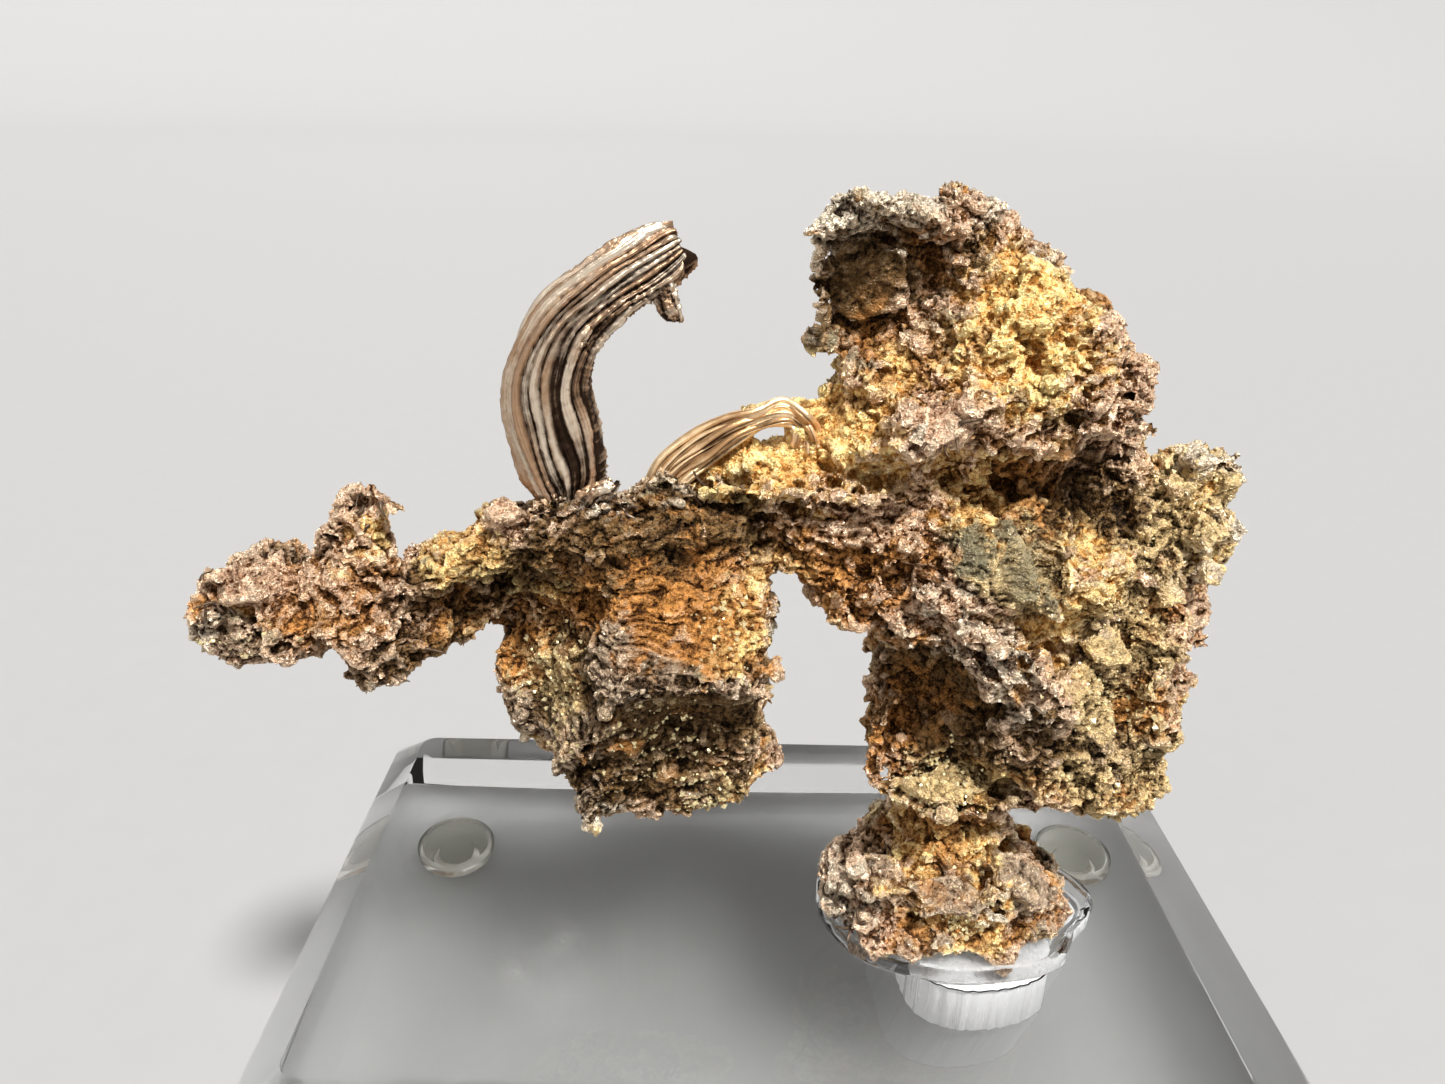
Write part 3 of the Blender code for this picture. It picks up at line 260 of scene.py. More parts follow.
# Broad worn slabs: centre, half length, half width, thickness, facing, spin and mineral
SLABS = (
    (9.0, -15.0, 42.0, 3.0, 1.9, 1.1, (-0.25, -0.6, 0.75), -22, "slate"),
    (14.4, -17.3, 42.0, 4.0, 1.9, 1.2, (0.0, -0.6, 0.8), -6, "slate"),
    (21.2, -16.0, 42.8, 4.2, 2.1, 1.2, (0.4, -0.6, 0.7), -50, "slate"),
    (13.8, -14.9, 52.4, 4.6, 1.8, 1.1, (0.05, -0.45, 0.9), 6, "olive"),
    (32.4, -8.2, 79.8, 1.6, 1.5, 2.6, (0.0, -0.5, 1.0), 0, "pale"),
    (34.9, -8.2, 78.2, 1.4, 1.2, 2.2, (0.3, -0.5, 1.0), 40, "olive"),
    (30.4, -9.6, 78.2, 1.4, 1.3, 2.0, (0.0, -0.6, 1.0), 20, "olive"),
    (35.2, -9.8, 74.8, 1.4, 1.3, 2.0, (0.5, -0.8, 0.6), 10, "pale"),
    (32.2, -12.0, 75.6, 1.8, 1.5, 2.0, (0.1, -0.9, 0.5), 30, "olive"),
    (33.6, -11.6, 71.8, 1.5, 1.3, 1.8, (0.4, -0.9, 0.4), 50, "pale"),
    (29.8, -13.2, 70.6, 1.5, 1.3, 1.6, (0.1, -1.0, 0.3), 15, "olive"),
    (-43.2, -17.6, 71.4, 3.2, 1.8, 2.6, (-0.1, -0.7, 0.7), 12, "mauve"),
    (-23.2, -14.6, 76.8, 2.0, 1.3, 2.0, (0.0, -0.6, 0.8), 20, "mauve"),
    (14.2, -18.2, 37.6, 1.5, 1.3, 1.2, (0.1, -0.9, 0.4), 20, "slate"),
    (8.0, -16.8, 84.8, 3.1, 2.0, 1.0, (-0.1, -0.85, 0.5), 35, "mauve"),
    (8.5, -17.3, 85.2, 2.3, 1.5, 0.9, (-0.1, -0.85, 0.55), 40, "mauve"),
    (7.3, -17.5, 84.3, 1.5, 1.0, 0.8, (-0.2, -0.9, 0.4), 25, "pale"),
    (11.5, -16.7, 87.3, 2.0, 1.3, 0.8, (0.0, -0.8, 0.6), 30, "mauve"),
    (22.8, -16.4, 63.8, 2.5, 1.9, 1.2, (0.1, -0.9, 0.4), 10, "olive"),
    (24.8, -15.9, 60.0, 3.2, 1.9, 1.2, (0.0, -0.9, 0.35), -35, "olive"),
    (24.9, -15.3, 66.4, 2.4, 1.6, 1.0, (0.1, -0.9, 0.5), 0, "olive"),
    (16.2, -16.3, 74.2, 1.7, 3.7, 0.9, (-0.1, -0.95, 0.3), 22, "teal"),
    (12.4, -16.4, 75.6, 1.2, 2.2, 0.9, (-0.3, -0.9, 0.3), 0, "teal"),
    (12.4, -17.4, 69.2, 2.5, 1.2, 1.0, (-0.1, -0.8, 0.6), -38, "mauve"),
    (16.0, -17.7, 66.2, 2.5, 1.3, 1.0, (-0.1, -0.8, 0.6), -42, "pale"),
    (19.0, -17.8, 63.4, 2.2, 1.3, 1.0, (0.0, -0.8, 0.6), -42, "mauve"),
    (5.2, -14.6, 40.8, 1.5, 1.2, 2.0, (-0.3, -0.6, 0.8), 0, "pale"),
    (4.6, -14.4, 38.2, 1.4, 1.2, 1.8, (-0.3, -0.7, 0.7), 30, "pale"),
    (7.2, -16.6, 38.4, 1.5, 1.2, 1.8, (-0.1, -0.8, 0.7), 50, "mauve"),
    (6.4, -15.2, 43.2, 1.3, 1.1, 1.6, (-0.3, -0.5, 0.9), 10, "pale"),
    (3.4, -10.5, 94.6, 3.6, 4.0, 1.0, (-0.25, -1.0, -0.2), 95, "dark"),
    (20.5, -3.4, 90.5, 3.4, 2.2, 1.2, (0.2, 1.0, 0.4), 20, "mauve"),
    (11.0, -2.9, 92.0, 2.6, 3.4, 1.1, (-0.2, 1.0, 0.2), -10, "mauve"),
    (26.5, -3.6, 74.0, 3.0, 2.4, 1.2, (0.3, 1.0, 0.1), 35, "olive"),
    (16.0, -4.3, 70.0, 4.0, 2.2, 1.2, (-0.1, 1.0, -0.2), -25, "mauve"),
    (24.0, -3.9, 60.0, 3.6, 2.4, 1.1, (0.1, 1.0, 0.2), 15, "rust"),
    (-12.0, -6.4, 67.0, 4.2, 2.6, 1.2, (0.0, 1.0, 0.1), 10, "mauve"),
    (-17.0, -6.4, 58.0, 3.0, 3.4, 1.1, (-0.1, 1.0, -0.1), -15, "olive"),
    (-37.0, -11.8, 69.0, 2.8, 1.8, 1.0, (0.0, 1.0, 0.2), 0, "mauve"),
    (2.0, -6.2, 79.0, 3.0, 1.8, 1.0, (0.0, 1.0, 0.3), -20, "gold"),
)

# Smoother, flatter areas: centre x, y, z, reach and how calm they are
CALM = (
    (-11.0, -19.0, 67.4, 4.4, 0.85), (-10.0, -19.0, 58.0, 7.5, 0.55), (-10.5, -17.0, 70.0, 6.5, 0.6), (-20.5, -13.0, 60.0, 6.0, 0.5),
    (1.0, -12.2, 82.8, 3.2, 0.5), (4.0, -10.0, 94.6, 4.6, 0.85), (16.4, -16.6, 73.4, 3.8, 0.9), (11.5, -13.4, 60.0, 5.0, 0.8),
    (8.6, -18.2, 85.6, 3.2, 0.6), (21.6, -10.6, 78.6, 3.6, 0.3), (-3.0, -11.0, 84.2, 2.6, 0.95),
    (-8.6, -11.0, 81.2, 2.4, 0.95), (14.0, -16.4, 41.4, 6.0, 0.45), (14.0, -16.0, 37.0, 5.0, 0.6), (5.0, -14.0, 37.4, 4.0, 0.6),
)

# Caves: centre x, y, z, reach and depth
CAVES = (
    (22.4, -11.0, 78.8, 3.4, 1.4), (16.6, -12.4, 80.2, 2.2, 0.6), (10.4, -12.6, 61.0, 4.0, 2.2), (14.0, -15.6, 60.0, 2.4, 1.2),
    (-3.3, -13.6, 75.0, 1.6, 1.6), (-24.8, -12.0, 68.0, 3.4, 1.6), (-16.6, -15.6, 67.0, 2.4, 1.2),
    (-10.0, -18.4, 58.4, 5.6, 1.1), (30.0, -12.6, 68.6, 1.8, 1.6), (21.0, -18.0, 58.8, 2.0, 2.6), (26.9, -14.9, 64.6, 1.4, 1.4),
    (12.0, -14.0, 46.6, 3.2, 0.7), (13.6, -15.6, 49.4, 1.8, 1.3), (15.0, -17.8, 39.8, 1.6, 1.1),
    (9.0, -16.4, 40.6, 1.5, 0.8), (23.0, -16.6, 40.0, 1.5, 0.9), (6.6, -9.8, 91.0, 2.0, 1.0), (18.6, -16.8, 75.6, 0.8, 1.4),
    (15.6, -2.8, 81.0, 3.0, 1.8), (30.0, -3.0, 66.0, 2.4, 1.4), (12.0, -4.0, 60.0, 2.6, 1.6),
    (-6.0, -6.2, 60.0, 2.4, 1.2), (-20.0, -6.6, 70.0, 2.6, 1.3), (6.6, -4.0, 87.0, 2.0, 1.2),
    (-30.0, -15.0, 67.6, 2.6, 1.2), (-11.0, -17.0, 75.0, 2.6, 0.9), (5.2, -15.2, 73.6, 2.2, 0.8),
)

# Layered areas: centre x, y, z, reach, layer thickness and the layers' upward direction
LAYERED = (
    (-13.0, -17.5, 70.0, 4.6, 0.6, (0.14, 0.0, 1.0)),
    (-12.0, -19.2, 66.8, 3.8, 0.5, (0.14, 0.2, 1.0)),
    (21.0, -14.0, 87.6, 5.2, 1.35, (-0.10, 0.2, 1.0)),
    (2.0, -14.6, 77.6, 5.5, 1.2, (0.25, 0.2, 1.0)),
    (15.0, -17.0, 67.4, 5.5, 1.4, (0.55, 0.2, 0.8)),
    (22.0, -3.4, 84.0, 5.0, 1.1, (0.1, 0.0, 1.0)),
    (-12.0, -6.4, 56.0, 5.0, 0.9, (-0.2, 0.0, 1.0)),
    (18.0, -3.6, 64.0, 5.0, 1.1, (-0.5, 0.0, 1.0)),
)

# Brassy grains: centre x, y, z, reach and number
GRAINS = (
    (-12.0, -17.0, 57.0, 6.0, 130), (-7.0, -15.0, 52.0, 4.5, 80), (-20.5, -13.0, 61.0, 5.0, 150),
    (-8.0, -14.2, 48.6, 2.6, 70), (15.6, -15.6, 38.6, 1.8, 60), (12.6, -14.6, 52.0, 4.0, 190), (25.0, -15.8, 62.6, 5.0, 120), (32.5, -8.5, 75.0, 6.0, 60),
    (-43.6, -18.0, 66.0, 4.5, 50), (27.5, -14.5, 60.0, 7.0, 60), (-6.0, -17.6, 68.0, 3.6, 60),
    (14.0, -17.0, 40.0, 6.0, 40),
)


# Tangles of loose wire: centre x, y, z, reach and number
HAIRS = (
    (5.4, -15.0, 39.4, 2.2, 16), (7.4, -16.6, 37.6, 1.6, 9), (-14.0, -14.2, 77.6, 2.4, 9),
    (-19.6, -13.8, 76.6, 1.8, 6), (-44.8, -18.6, 70.4, 2.6, 7), (-34.0, -16.0, 77.2, 1.6, 4),
    (-8.0, -13.0, 78.0, 2.6, 6), (9.2, -17.8, 85.4, 1.8, 4),
    (-32.6, -17.0, 65.2, 1.6, 4),
)


def mm(*values):
    return Vector(values) * MM


class StageSettings(bpy.types.PropertyGroup):
    floor_colour: FloatVectorProperty(
        name="Floor colour", description="Plain pale floor", subtype="COLOR", size=3,
        default=(0.27, 0.265, 0.26), min=0, max=1)
    key_power: FloatProperty(
        name="Key light", description="Soft light from above the viewer's right, in W/m2",
        default=7.3, min=0)
    fill_power: FloatProperty(
        name="Fill light", description="Softer light from the front left, in W/m2",
        default=0.65, min=0)
    sky: FloatProperty(
        name="Sky", description="Strength of the even light from all round", default=0.22, min=0)
    lens: FloatProperty(
        name="Lens", description="Focal length on a 36 mm wide sensor, in millimetres",
        default=25.985, min=1)
    eye: FloatVectorProperty(
        name="Camera place", description="Where the camera stands", subtype="TRANSLATION",
        unit="LENGTH", default=(-7.45 * MM, -89.1 * MM, 108.0 * MM))
    pitch: FloatProperty(
        name="Pitch", description="How far the camera looks down", subtype="ANGLE",
        default=math.radians(24.02))
    yaw: FloatProperty(
        name="Yaw", description="How far the camera turns to the right", subtype="ANGLE",
        default=math.radians(0.64))
    roll: FloatProperty(
        name="Roll", description="How far the camera leans", subtype="ANGLE",
        default=math.radians(1.43))


class StandSettings(bpy.types.PropertyGroup):
    acrylic_colour: FloatVectorProperty(
        name="Acrylic", description="Tint of the clear acrylic", subtype="COLOR", size=3,
        default=(0.985, 0.992, 0.99), min=0, max=1)
    bumper_colour: FloatVectorProperty(
        name="Bumpers", description="Tint of the clear bumpers", subtype="COLOR", size=3,
        default=(0.97, 0.96, 0.88), min=0, max=1)
    refraction: FloatProperty(
        name="Refraction", description="Index of refraction of acrylic", default=1.49, min=1)
    corner: FloatProperty(
        name="Corner", description="Radius of the block's upright corners", unit="LENGTH",
        default=1.6 * MM)
    edge: FloatProperty(
        name="Edge", description="Width of the polished break on every edge", unit="LENGTH",
        default=0.18 * MM)
    bevel_drop: FloatProperty(
        name="Bevel height", description="Height of the sloping faces round the top",
        unit="LENGTH", default=5.0 * MM)
    bevel_left: FloatProperty(
        name="Left bevel", description="Width of the left slope", unit="LENGTH",
        default=5.2 * MM)
    bevel_right: FloatProperty(
        name="Right bevel", description="Width of the right slope", unit="LENGTH",
        default=8.2 * MM)
    bevel_ends: FloatProperty(
        name="Front and back bevel", description="Width of the front and back slopes",
        unit="LENGTH", default=5.0 * MM)


class RockSettings(bpy.types.PropertyGroup):
    swell: FloatProperty(
        name="Swell", description="Growth that closes the forks between the branches",
        unit="LENGTH", default=0.15 * MM)
    coarse: FloatProperty(
        name="Coarse cell", description="Cell of the first surface", unit="LENGTH",
        default=0.45 * MM)
    fine: FloatProperty(
        name="Fine cell", description="Cell of the finished surface", unit="LENGTH",
        default=0.203 * MM)
    shards: IntProperty(
        name="Shards", description="Small plates and crystals on the surface", default=4400,
        min=0)
    seed: IntProperty(name="Seed", description="Order of the shards", default=7)
    column_split: FloatProperty(
        name="Column split", description="Height where the column's two pieces meet",
        unit="LENGTH", default=58.5 * MM)
    # Each mineral has a hollow and a crest colour: partly its own colours, partly painted shade in the hollows
    # and painted highlight on the crests.
    gold_low: FloatVectorProperty(name="Gold hollow", subtype="COLOR", size=3,
                                  description="Gold bloom in its pits", default=(0.62, 0.27, 0.055))
    gold_high: FloatVectorProperty(name="Gold crest", subtype="COLOR", size=3,
                                   description="Gold bloom on its crests",
                                   default=(1.0, 0.785, 0.345))
    mauve_low: FloatVectorProperty(name="Mauve hollow", subtype="COLOR", size=3,
                                   description="Mauve silver in its pits",
                                   default=(0.19, 0.068, 0.018))
    mauve_high: FloatVectorProperty(name="Mauve crest", subtype="COLOR", size=3,
                                    description="Mauve silver on its crests",
                                    default=(0.86, 0.62, 0.43))
    pale_low: FloatVectorProperty(name="Pale hollow", subtype="COLOR", size=3,
                                  description="Grey silver in its pits",
                                  default=(0.09, 0.06, 0.038))
    pale_high: FloatVectorProperty(name="Pale crest", subtype="COLOR", size=3,
                                   description="Grey silver on its crests",
                                   default=(0.93, 0.80, 0.62))
    olive_low: FloatVectorProperty(name="Olive hollow", subtype="COLOR", size=3,
                                   description="Olive crust in its pits",
                                   default=(0.08, 0.045, 0.014))
    olive_high: FloatVectorProperty(name="Olive crest", subtype="COLOR", size=3,
                                    description="Olive crust on its crests",
                                    default=(0.78, 0.57, 0.28))
    rust_low: FloatVectorProperty(name="Rust hollow", subtype="COLOR", size=3,
                                  description="Rusty matrix in its pits",
                                  default=(0.075, 0.024, 0.005))
    rust_high: FloatVectorProperty(name="Rust crest", subtype="COLOR", size=3,
                                   description="Rusty matrix on its crests",
                                   default=(0.57, 0.25, 0.065))
    # The dark mineral also paints shade in the caves and under the foot's slabs.
    dark_low: FloatVectorProperty(name="Dark hollow", subtype="COLOR", size=3,
                                  description="Dark matrix in its pits",
                                  default=(0.014, 0.007, 0.003))
    dark_high: FloatVectorProperty(name="Dark crest", subtype="COLOR", size=3,
                                   description="Dark matrix on its crests",
                                   default=(0.19, 0.103, 0.038))
    slate_low: FloatVectorProperty(name="Slate hollow", subtype="COLOR", size=3,
                                   description="Grey-brown crust in its pits",
                                   default=(0.07, 0.04, 0.022))
    slate_high: FloatVectorProperty(name="Slate crest", subtype="COLOR", size=3,
                                    description="Grey-brown crust on its crests",
                                    default=(0.50, 0.37, 0.255))
    teal_low: FloatVectorProperty(name="Grey-green hollow", subtype="COLOR", size=3,
                                  description="Grey-green film in its pits",
                                  default=(0.05, 0.038, 0.02))
    teal_high: FloatVectorProperty(name="Grey-green crest", subtype="COLOR", size=3,
                                   description="Grey-green film on its crests",
                                   default=(0.27, 0.232, 0.138))


class WireSettings(bpy.types.PropertyGroup):
    thickness: FloatProperty(
        name="Ribbon thickness", description="Thickness of the curl at its root", unit="LENGTH",
        default=3.2 * MM)
    ridges: IntProperty(
        name="Ridges", description="Flutes across the face of the curl", default=12, min=3)
    ridge_height: FloatProperty(
        name="Ridge height", description="Height of the curl's flutes", unit="LENGTH",
        default=0.62 * MM)
    silver: FloatVectorProperty(
        name="Silver", description="Satin silver on the ridges", subtype="COLOR", size=3,
        default=(0.64, 0.53, 0.41), min=0, max=1)
    stain: FloatVectorProperty(
        name="Stain", description="Warm stain along some ridges", subtype="COLOR", size=3,
        default=(0.40, 0.25, 0.15), min=0, max=1)
    tarnish: FloatVectorProperty(
        name="Tarnish", description="Brown tarnish in the grooves", subtype="COLOR", size=3,
        default=(0.025, 0.013, 0.007), min=0, max=1)
    strands: IntProperty(
        name="Strands", description="Strands of the golden strap", default=6, min=2)
    strap: FloatVectorProperty(
        name="Strap", description="Golden-brown metal of the strap", subtype="COLOR", size=3,
        default=(0.90, 0.66, 0.40), min=0, max=1)
    strap_stain: FloatVectorProperty(
        name="Strap stain", description="Brown stain along the strands", subtype="COLOR",
        size=3, default=(0.48, 0.28, 0.13), min=0, max=1)


# Routes of the wire ribbons: x, y, z and half width, in millimetres
CURL_LINE = (
    (-18.6, -12.2, 73.6, 1.4), (-18.7, -12.5, 76.8, 1.8), (-18.9, -12.4, 79.6, 2.9),
    (-19.6, -12.6, 83.0, 3.2), (-19.9, -12.8, 87.0, 3.05), (-18.3, -12.8, 90.9, 2.6),
    (-15.4, -12.4, 93.6, 2.25), (-12.6, -11.6, 95.4, 2.15), (-9.6, -10.8, 97.2, 2.0))
STRAP_LINE = (
    (-12.0, -11.6, 76.6, 0.8), (-10.7, -11.9, 79.5, 1.15), (-8.4, -12.0, 81.5, 1.1),
    (-6.1, -11.9, 82.9, 0.9), (-4.0, -11.7, 83.9, 0.75), (-2.2, -11.6, 84.4, 0.65),
    (-0.9, -11.6, 83.9, 0.6), (-0.3, -11.7, 82.8, 0.8), (-0.2, -11.9, 81.2, 1.2))
# Crusted patches of the curl: centre x, y, z and reach
CURL_CRUST = ((-14.6, -13.8, 91.6, 2.0), (-16.6, -14.0, 90.2, 1.8), (-12.4, -13.2, 93.2, 1.4),
              (-16.0, -13.6, 75.0, 2.0))
SHRED_LINE = ((-11.8, -11.6, 94.8, 0.9), (-11.3, -11.9, 93.4, 0.8), (-10.8, -12.0, 92.2, 0.75),
              (-10.4, -12.0, 91.2, 0.5))
LIP_LINE = ((-17.6, -14.4, 77.0, 0.5), (-17.0, -14.8, 78.2, 0.6), (-16.2, -14.9, 79.0, 0.55),
            (-15.2, -14.8, 79.4, 0.5), (-14.5, -14.5, 80.2, 0.3))

# Carved riser: outlines as degrees and millimetres about its own centre
RISER_CENTRE = (16.5, -9.5)
TRAY_OUTLINE = ((0, 14.0), (20, 12.4), (45, 10.6), (90, 9.8), (135, 10.8), (165, 12.6), (188, 13.0),
                (215, 12.3), (240, 10.8), (265, 10.2), (290, 10.4), (315, 11.8), (335, 12.0),
                (350, 13.4))
STEM_OUTLINE = ((0, 12.3), (20, 10.0), (60, 8.2), (120, 7.0), (180, 5.6), (205, 5.8), (225, 7.2),
                (245, 9.4), (265, 10.2), (283, 10.4), (315, 11.0), (328, 10.2), (337, 9.2),
                (347, 11.6),
                (354, 12.4))


# Nodes written as expressions

class Flow:
    """A socket of a recipe. Arithmetic on it adds Math nodes."""

    def __init__(self, recipe, socket):
        self.recipe = recipe
        self.socket = socket

    def math(self, operation, *values):
        return self.recipe.node("ShaderNodeMath", {"operation": operation},
                                dict(enumerate(values)))

    def __add__(self, other):
        return self.math("ADD", self, other)

    def __sub__(self, other):
        return self.math("SUBTRACT", self, other)

    def __rsub__(self, other):
        return self.math("SUBTRACT", other, self)

    def __mul__(self, other):
        return self.math("MULTIPLY", self, other)

    def __gt__(self, other):
        return self.math("GREATER_THAN", self, other)

    def __pow__(self, other):
        return self.math("POWER", self, other)

    __radd__ = __add__
    __rmul__ = __mul__

    def clamped(self):
        return self.math("MINIMUM", self.math("MAXIMUM", self, 0.0), 1.0)


class Recipe:
    """A new material with a Principled shader, built by adding nodes."""

    def __init__(self, name):
        self.material = bpy.data.materials.new(name)
        self.material.use_nodes = True
        self.tree = self.material.node_tree
        self.shader = self.tree.nodes["Principled BSDF"]

    def node(self, kind, settings=None, sockets=None, output=0):
        made = self.tree.nodes.new(kind)
        for key, value in (settings or {}).items():
            setattr(made, key, value)
        for key, value in (sockets or {}).items():
            self.feed(made.inputs[key], value)
        return Flow(self, made.outputs[output])

    def feed(self, socket, value):
        if isinstance(value, Flow):
            self.tree.links.new(value.socket, socket)
        elif socket.type == "RGBA" and len(value) == 3:
            socket.default_value = (*value, 1.0)
        else:
            socket.default_value = value

    def finish(self, **sockets):
        for name, value in sockets.items():
            self.feed(self.shader.inputs[name.replace("_", " ")], value)
        return self.material

    def place(self):
        return self.node("ShaderNodeTexCoord", output=3)

    def attribute(self, name, output=2):
        return self.node("ShaderNodeAttribute", {"attribute_name": name}, output=output)

    def noise(self, size, detail=4.0, rough=0.6, place=None):
        """Noise whose features are about size metres across."""
        return self.node("ShaderNodeTexNoise", None,
                         {"Vector": place or self.place(), "Scale": 1 / size, "Detail": detail,
                          "Roughness": rough})

    def cells(self, size, output=0, place=None, feature="F1"):
        """Grains about size metres across; output 0 is the distance, 1 a colour for each."""
        return self.node("ShaderNodeTexVoronoi", {"feature": feature},
                         {"Vector": place or self.place(), "Scale": 1 / size}, output=output)

    def stretched(self, x, y, z):
        return self.node("ShaderNodeMapping", None,
                         {"Vector": self.place(), "Scale": (x, y, z)})

    def blend(self, factor, low, high):
        return self.node("ShaderNodeMix", {"data_type": "RGBA"}, {0: factor, 6: low, 7: high},
                         output=2)

    def bump(self, height, distance, strength=1.0):
        return self.node("ShaderNodeBump", None,
                         {"Height": height, "Distance": distance, "Strength": strength})

    def vector(self, operation, *values):
        return self.node("ShaderNodeVectorMath", {"operation": operation},
                         dict(enumerate(values)))

    def facets(self, size, lean, normal):
        """Tilt the normal its own way on each grain."""
        tilt = self.vector("SUBTRACT", self.cells(size, output=1), (0.5, 0.5, 0.5))
        tilted = self.vector("ADD", normal, self.vector("MULTIPLY", tilt, (lean, lean, lean)))
        return self.vector("NORMALIZE", tilted)

    def grey(self, colour):
        return self.node("ShaderNodeRGBToBW", None, {"Color": colour})


def rock_material(name):
    """Hackly silver and matrix: the painted tones, mottled by grains, with painted shade in the pits and painted
    highlights as glints.
    """
    recipe = Recipe(name)
    lively = 1.0 - recipe.attribute("calm") * 0.6
    relief = recipe.attribute("relief")
    metal = recipe.attribute("metal")
    mottle = recipe.noise(0.9 * MM, detail=8.0, rough=0.75)
    fine = recipe.noise(0.13 * MM, detail=2.0)
    pepper = recipe.noise(0.34 * MM, detail=3.0, rough=0.8)
    grain = recipe.grey(recipe.cells(0.30 * MM, output=1))
    # The tone goes from the hollow colour to the crest colour with the relief: partly the minerals' own colours,
    # partly painted highlight on crests and painted shade in hollows.
    tone = (relief * 0.6 + ((mottle - 0.5) * 2.0 + (fine - 0.5) * 1.5 + (pepper - 0.5) * 2.0
                            + (grain - 0.5) * 0.7) * lively + 0.62).clamped()
    low = recipe.attribute("tone_low", output=0)
    high = recipe.attribute("tone_high", output=0)
    base = recipe.blend(tone, low, high)
    # Dark specks where the noise dips, and painted shade in the hollows: the base darkens towards near black, as
    # far as the mineral's pits value allows.
    pit_specks_and_shade = ((0.5 - mottle) * 2.6 + (0.5 - fine) * 2.4 + (0.5 - pepper) * 4.6 * lively
           - relief * 1.2 - 0.60).clamped()
    base = recipe.blend(pit_specks_and_shade * recipe.attribute("pits"), base, (0.010, 0.006, 0.003))
    # Painted highlight: pale glints on bright grains away from the hollows, which are also made more metallic
    # and smoother.
    painted_glint = (grain > 0.62) * (fine > 0.5) * (relief > -0.1)
    base = recipe.blend(painted_glint * (metal * 0.7), base, (0.95, 0.84, 0.62))
    rough = (0.58 - tone * 0.2 - painted_glint * 0.2).clamped()
    crackle = recipe.cells(0.24 * MM) * 0.8 + fine * 0.8 + mottle * 0.8 + pepper * 0.8
    normal = recipe.facets(0.42 * MM, 0.9, recipe.bump(crackle, 0.25 * MM))
    return recipe.finish(Base_Color=base, Roughness=rough, Metallic=(metal + painted_glint * 0.3).clamped(),
                         Specular_IOR_Level=0.08, Normal=normal)


def brass_material(name):
    """Bright brassy crystals, a few of them tarnished."""
    recipe = Recipe(name)
    stain = recipe.noise(0.7 * MM, detail=2.0)
    base = recipe.blend(stain, (0.98, 0.84, 0.50), (0.62, 0.50, 0.26))
    return recipe.finish(Base_Color=base, Metallic=0.7, Roughness=0.20 + stain * 0.2)


def wire_material(name, silver, stain, tarnish, lift):
    """Satin metal, tarnished in its grooves, with stained ridges."""
    recipe = Recipe(name)
    groove = recipe.attribute("relief")
    streak = recipe.attribute("streak")
    mottle = recipe.noise(1.2 * MM, detail=5.0)
    fine = recipe.noise(0.14 * MM, detail=3.0)
    # Shine follows the relief, so it carries the ribbon's painted highlight and shade besides the tarnish in the
    # grooves.
    shine = (groove * 1.4 + lift + (streak - 0.5) * 0.5 + (mottle - 0.5) * 1.1
             + (fine - 0.5) * 0.5).clamped()
    warm = recipe.blend(((streak - 0.35) * 2.5 + (mottle - 0.5) * 2).clamped(),
                        tuple(stain), tuple(silver))
    base = recipe.blend(shine, tuple(tarnish), warm)
    return recipe.finish(Base_Color=base, Roughness=(0.58 - shine * 0.22), Metallic=0.8,
                         Specular_IOR_Level=0.25,
                         Normal=recipe.bump(fine * 0.5 + mottle, 0.06 * MM))


def acrylic_material(name, colour, refraction):
    """Polished acrylic with faint wiping marks and a little dust."""
    recipe = Recipe(name)
    marks = recipe.noise(9.0 * MM, detail=3.0, place=recipe.stretched(0.25, 1.4, 1.0))
    return recipe.finish(Base_Color=colour, Roughness=marks * 0.02, IOR=refraction,
                         Transmission_Weight=1.0)


def carved_material(name, colour, refraction):
    """Milled acrylic: satin, with upright tool marks that catch the light."""
    recipe = Recipe(name)
    marks = recipe.noise(1.5 * MM, detail=4.0, place=recipe.stretched(1.0, 1.0, 0.05))
    fine = recipe.noise(0.4 * MM, detail=2.0, place=recipe.stretched(1.0, 1.0, 0.03))
    rough = (0.22 + (marks - 0.5) * 1.6 + fine * 0.1).clamped()
    base = recipe.blend(marks, (0.99, 0.99, 0.99), colour)
    return recipe.finish(Base_Color=base, Roughness=rough, IOR=refraction,
                         Transmission_Weight=0.22,
                         Normal=recipe.bump(marks + fine * 0.4, 0.10 * MM))


def bumper_material(name, colour, refraction):
    recipe = Recipe(name)
    bloom = recipe.noise(2.4 * MM, detail=3.0)
    return recipe.finish(Base_Color=colour, Roughness=(0.03 + bloom * 0.10), IOR=refraction,
                         Transmission_Weight=0.96)


def floor_material(name, colour):
    recipe = Recipe(name)
    grain = recipe.noise(6.0 * MM, detail=4.0)
    base = recipe.blend(grain * 0.12, colour, (0.36, 0.355, 0.35))
    return recipe.finish(Base_Color=base, Roughness=0.75)


# Hand modelling

def deselect():
    if bpy.context.mode != "OBJECT":
        bpy.ops.object.mode_set(mode="OBJECT")
    bpy.ops.object.select_all(action="DESELECT")


def pick(made):
    deselect()
    made.select_set(True)
    bpy.context.view_layer.objects.active = made


def settle(made):
    """Put a finished piece's place into its mesh."""
    pick(made)
    bpy.ops.object.transform_apply(location=True, rotation=True, scale=True)


def modify(made, kind, **values):
    """Add a modifier with these values and apply it."""
    pick(made)
    step = made.modifiers.new(kind.lower(), kind)
    for key, value in values.items():
        setattr(step, key, value)
    bpy.ops.object.modifier_apply(modifier=step.name)


def edit(made, select="SELECT"):
    pick(made)
    bpy.ops.object.mode_set(mode="EDIT")
    bpy.ops.mesh.select_all(action=select)


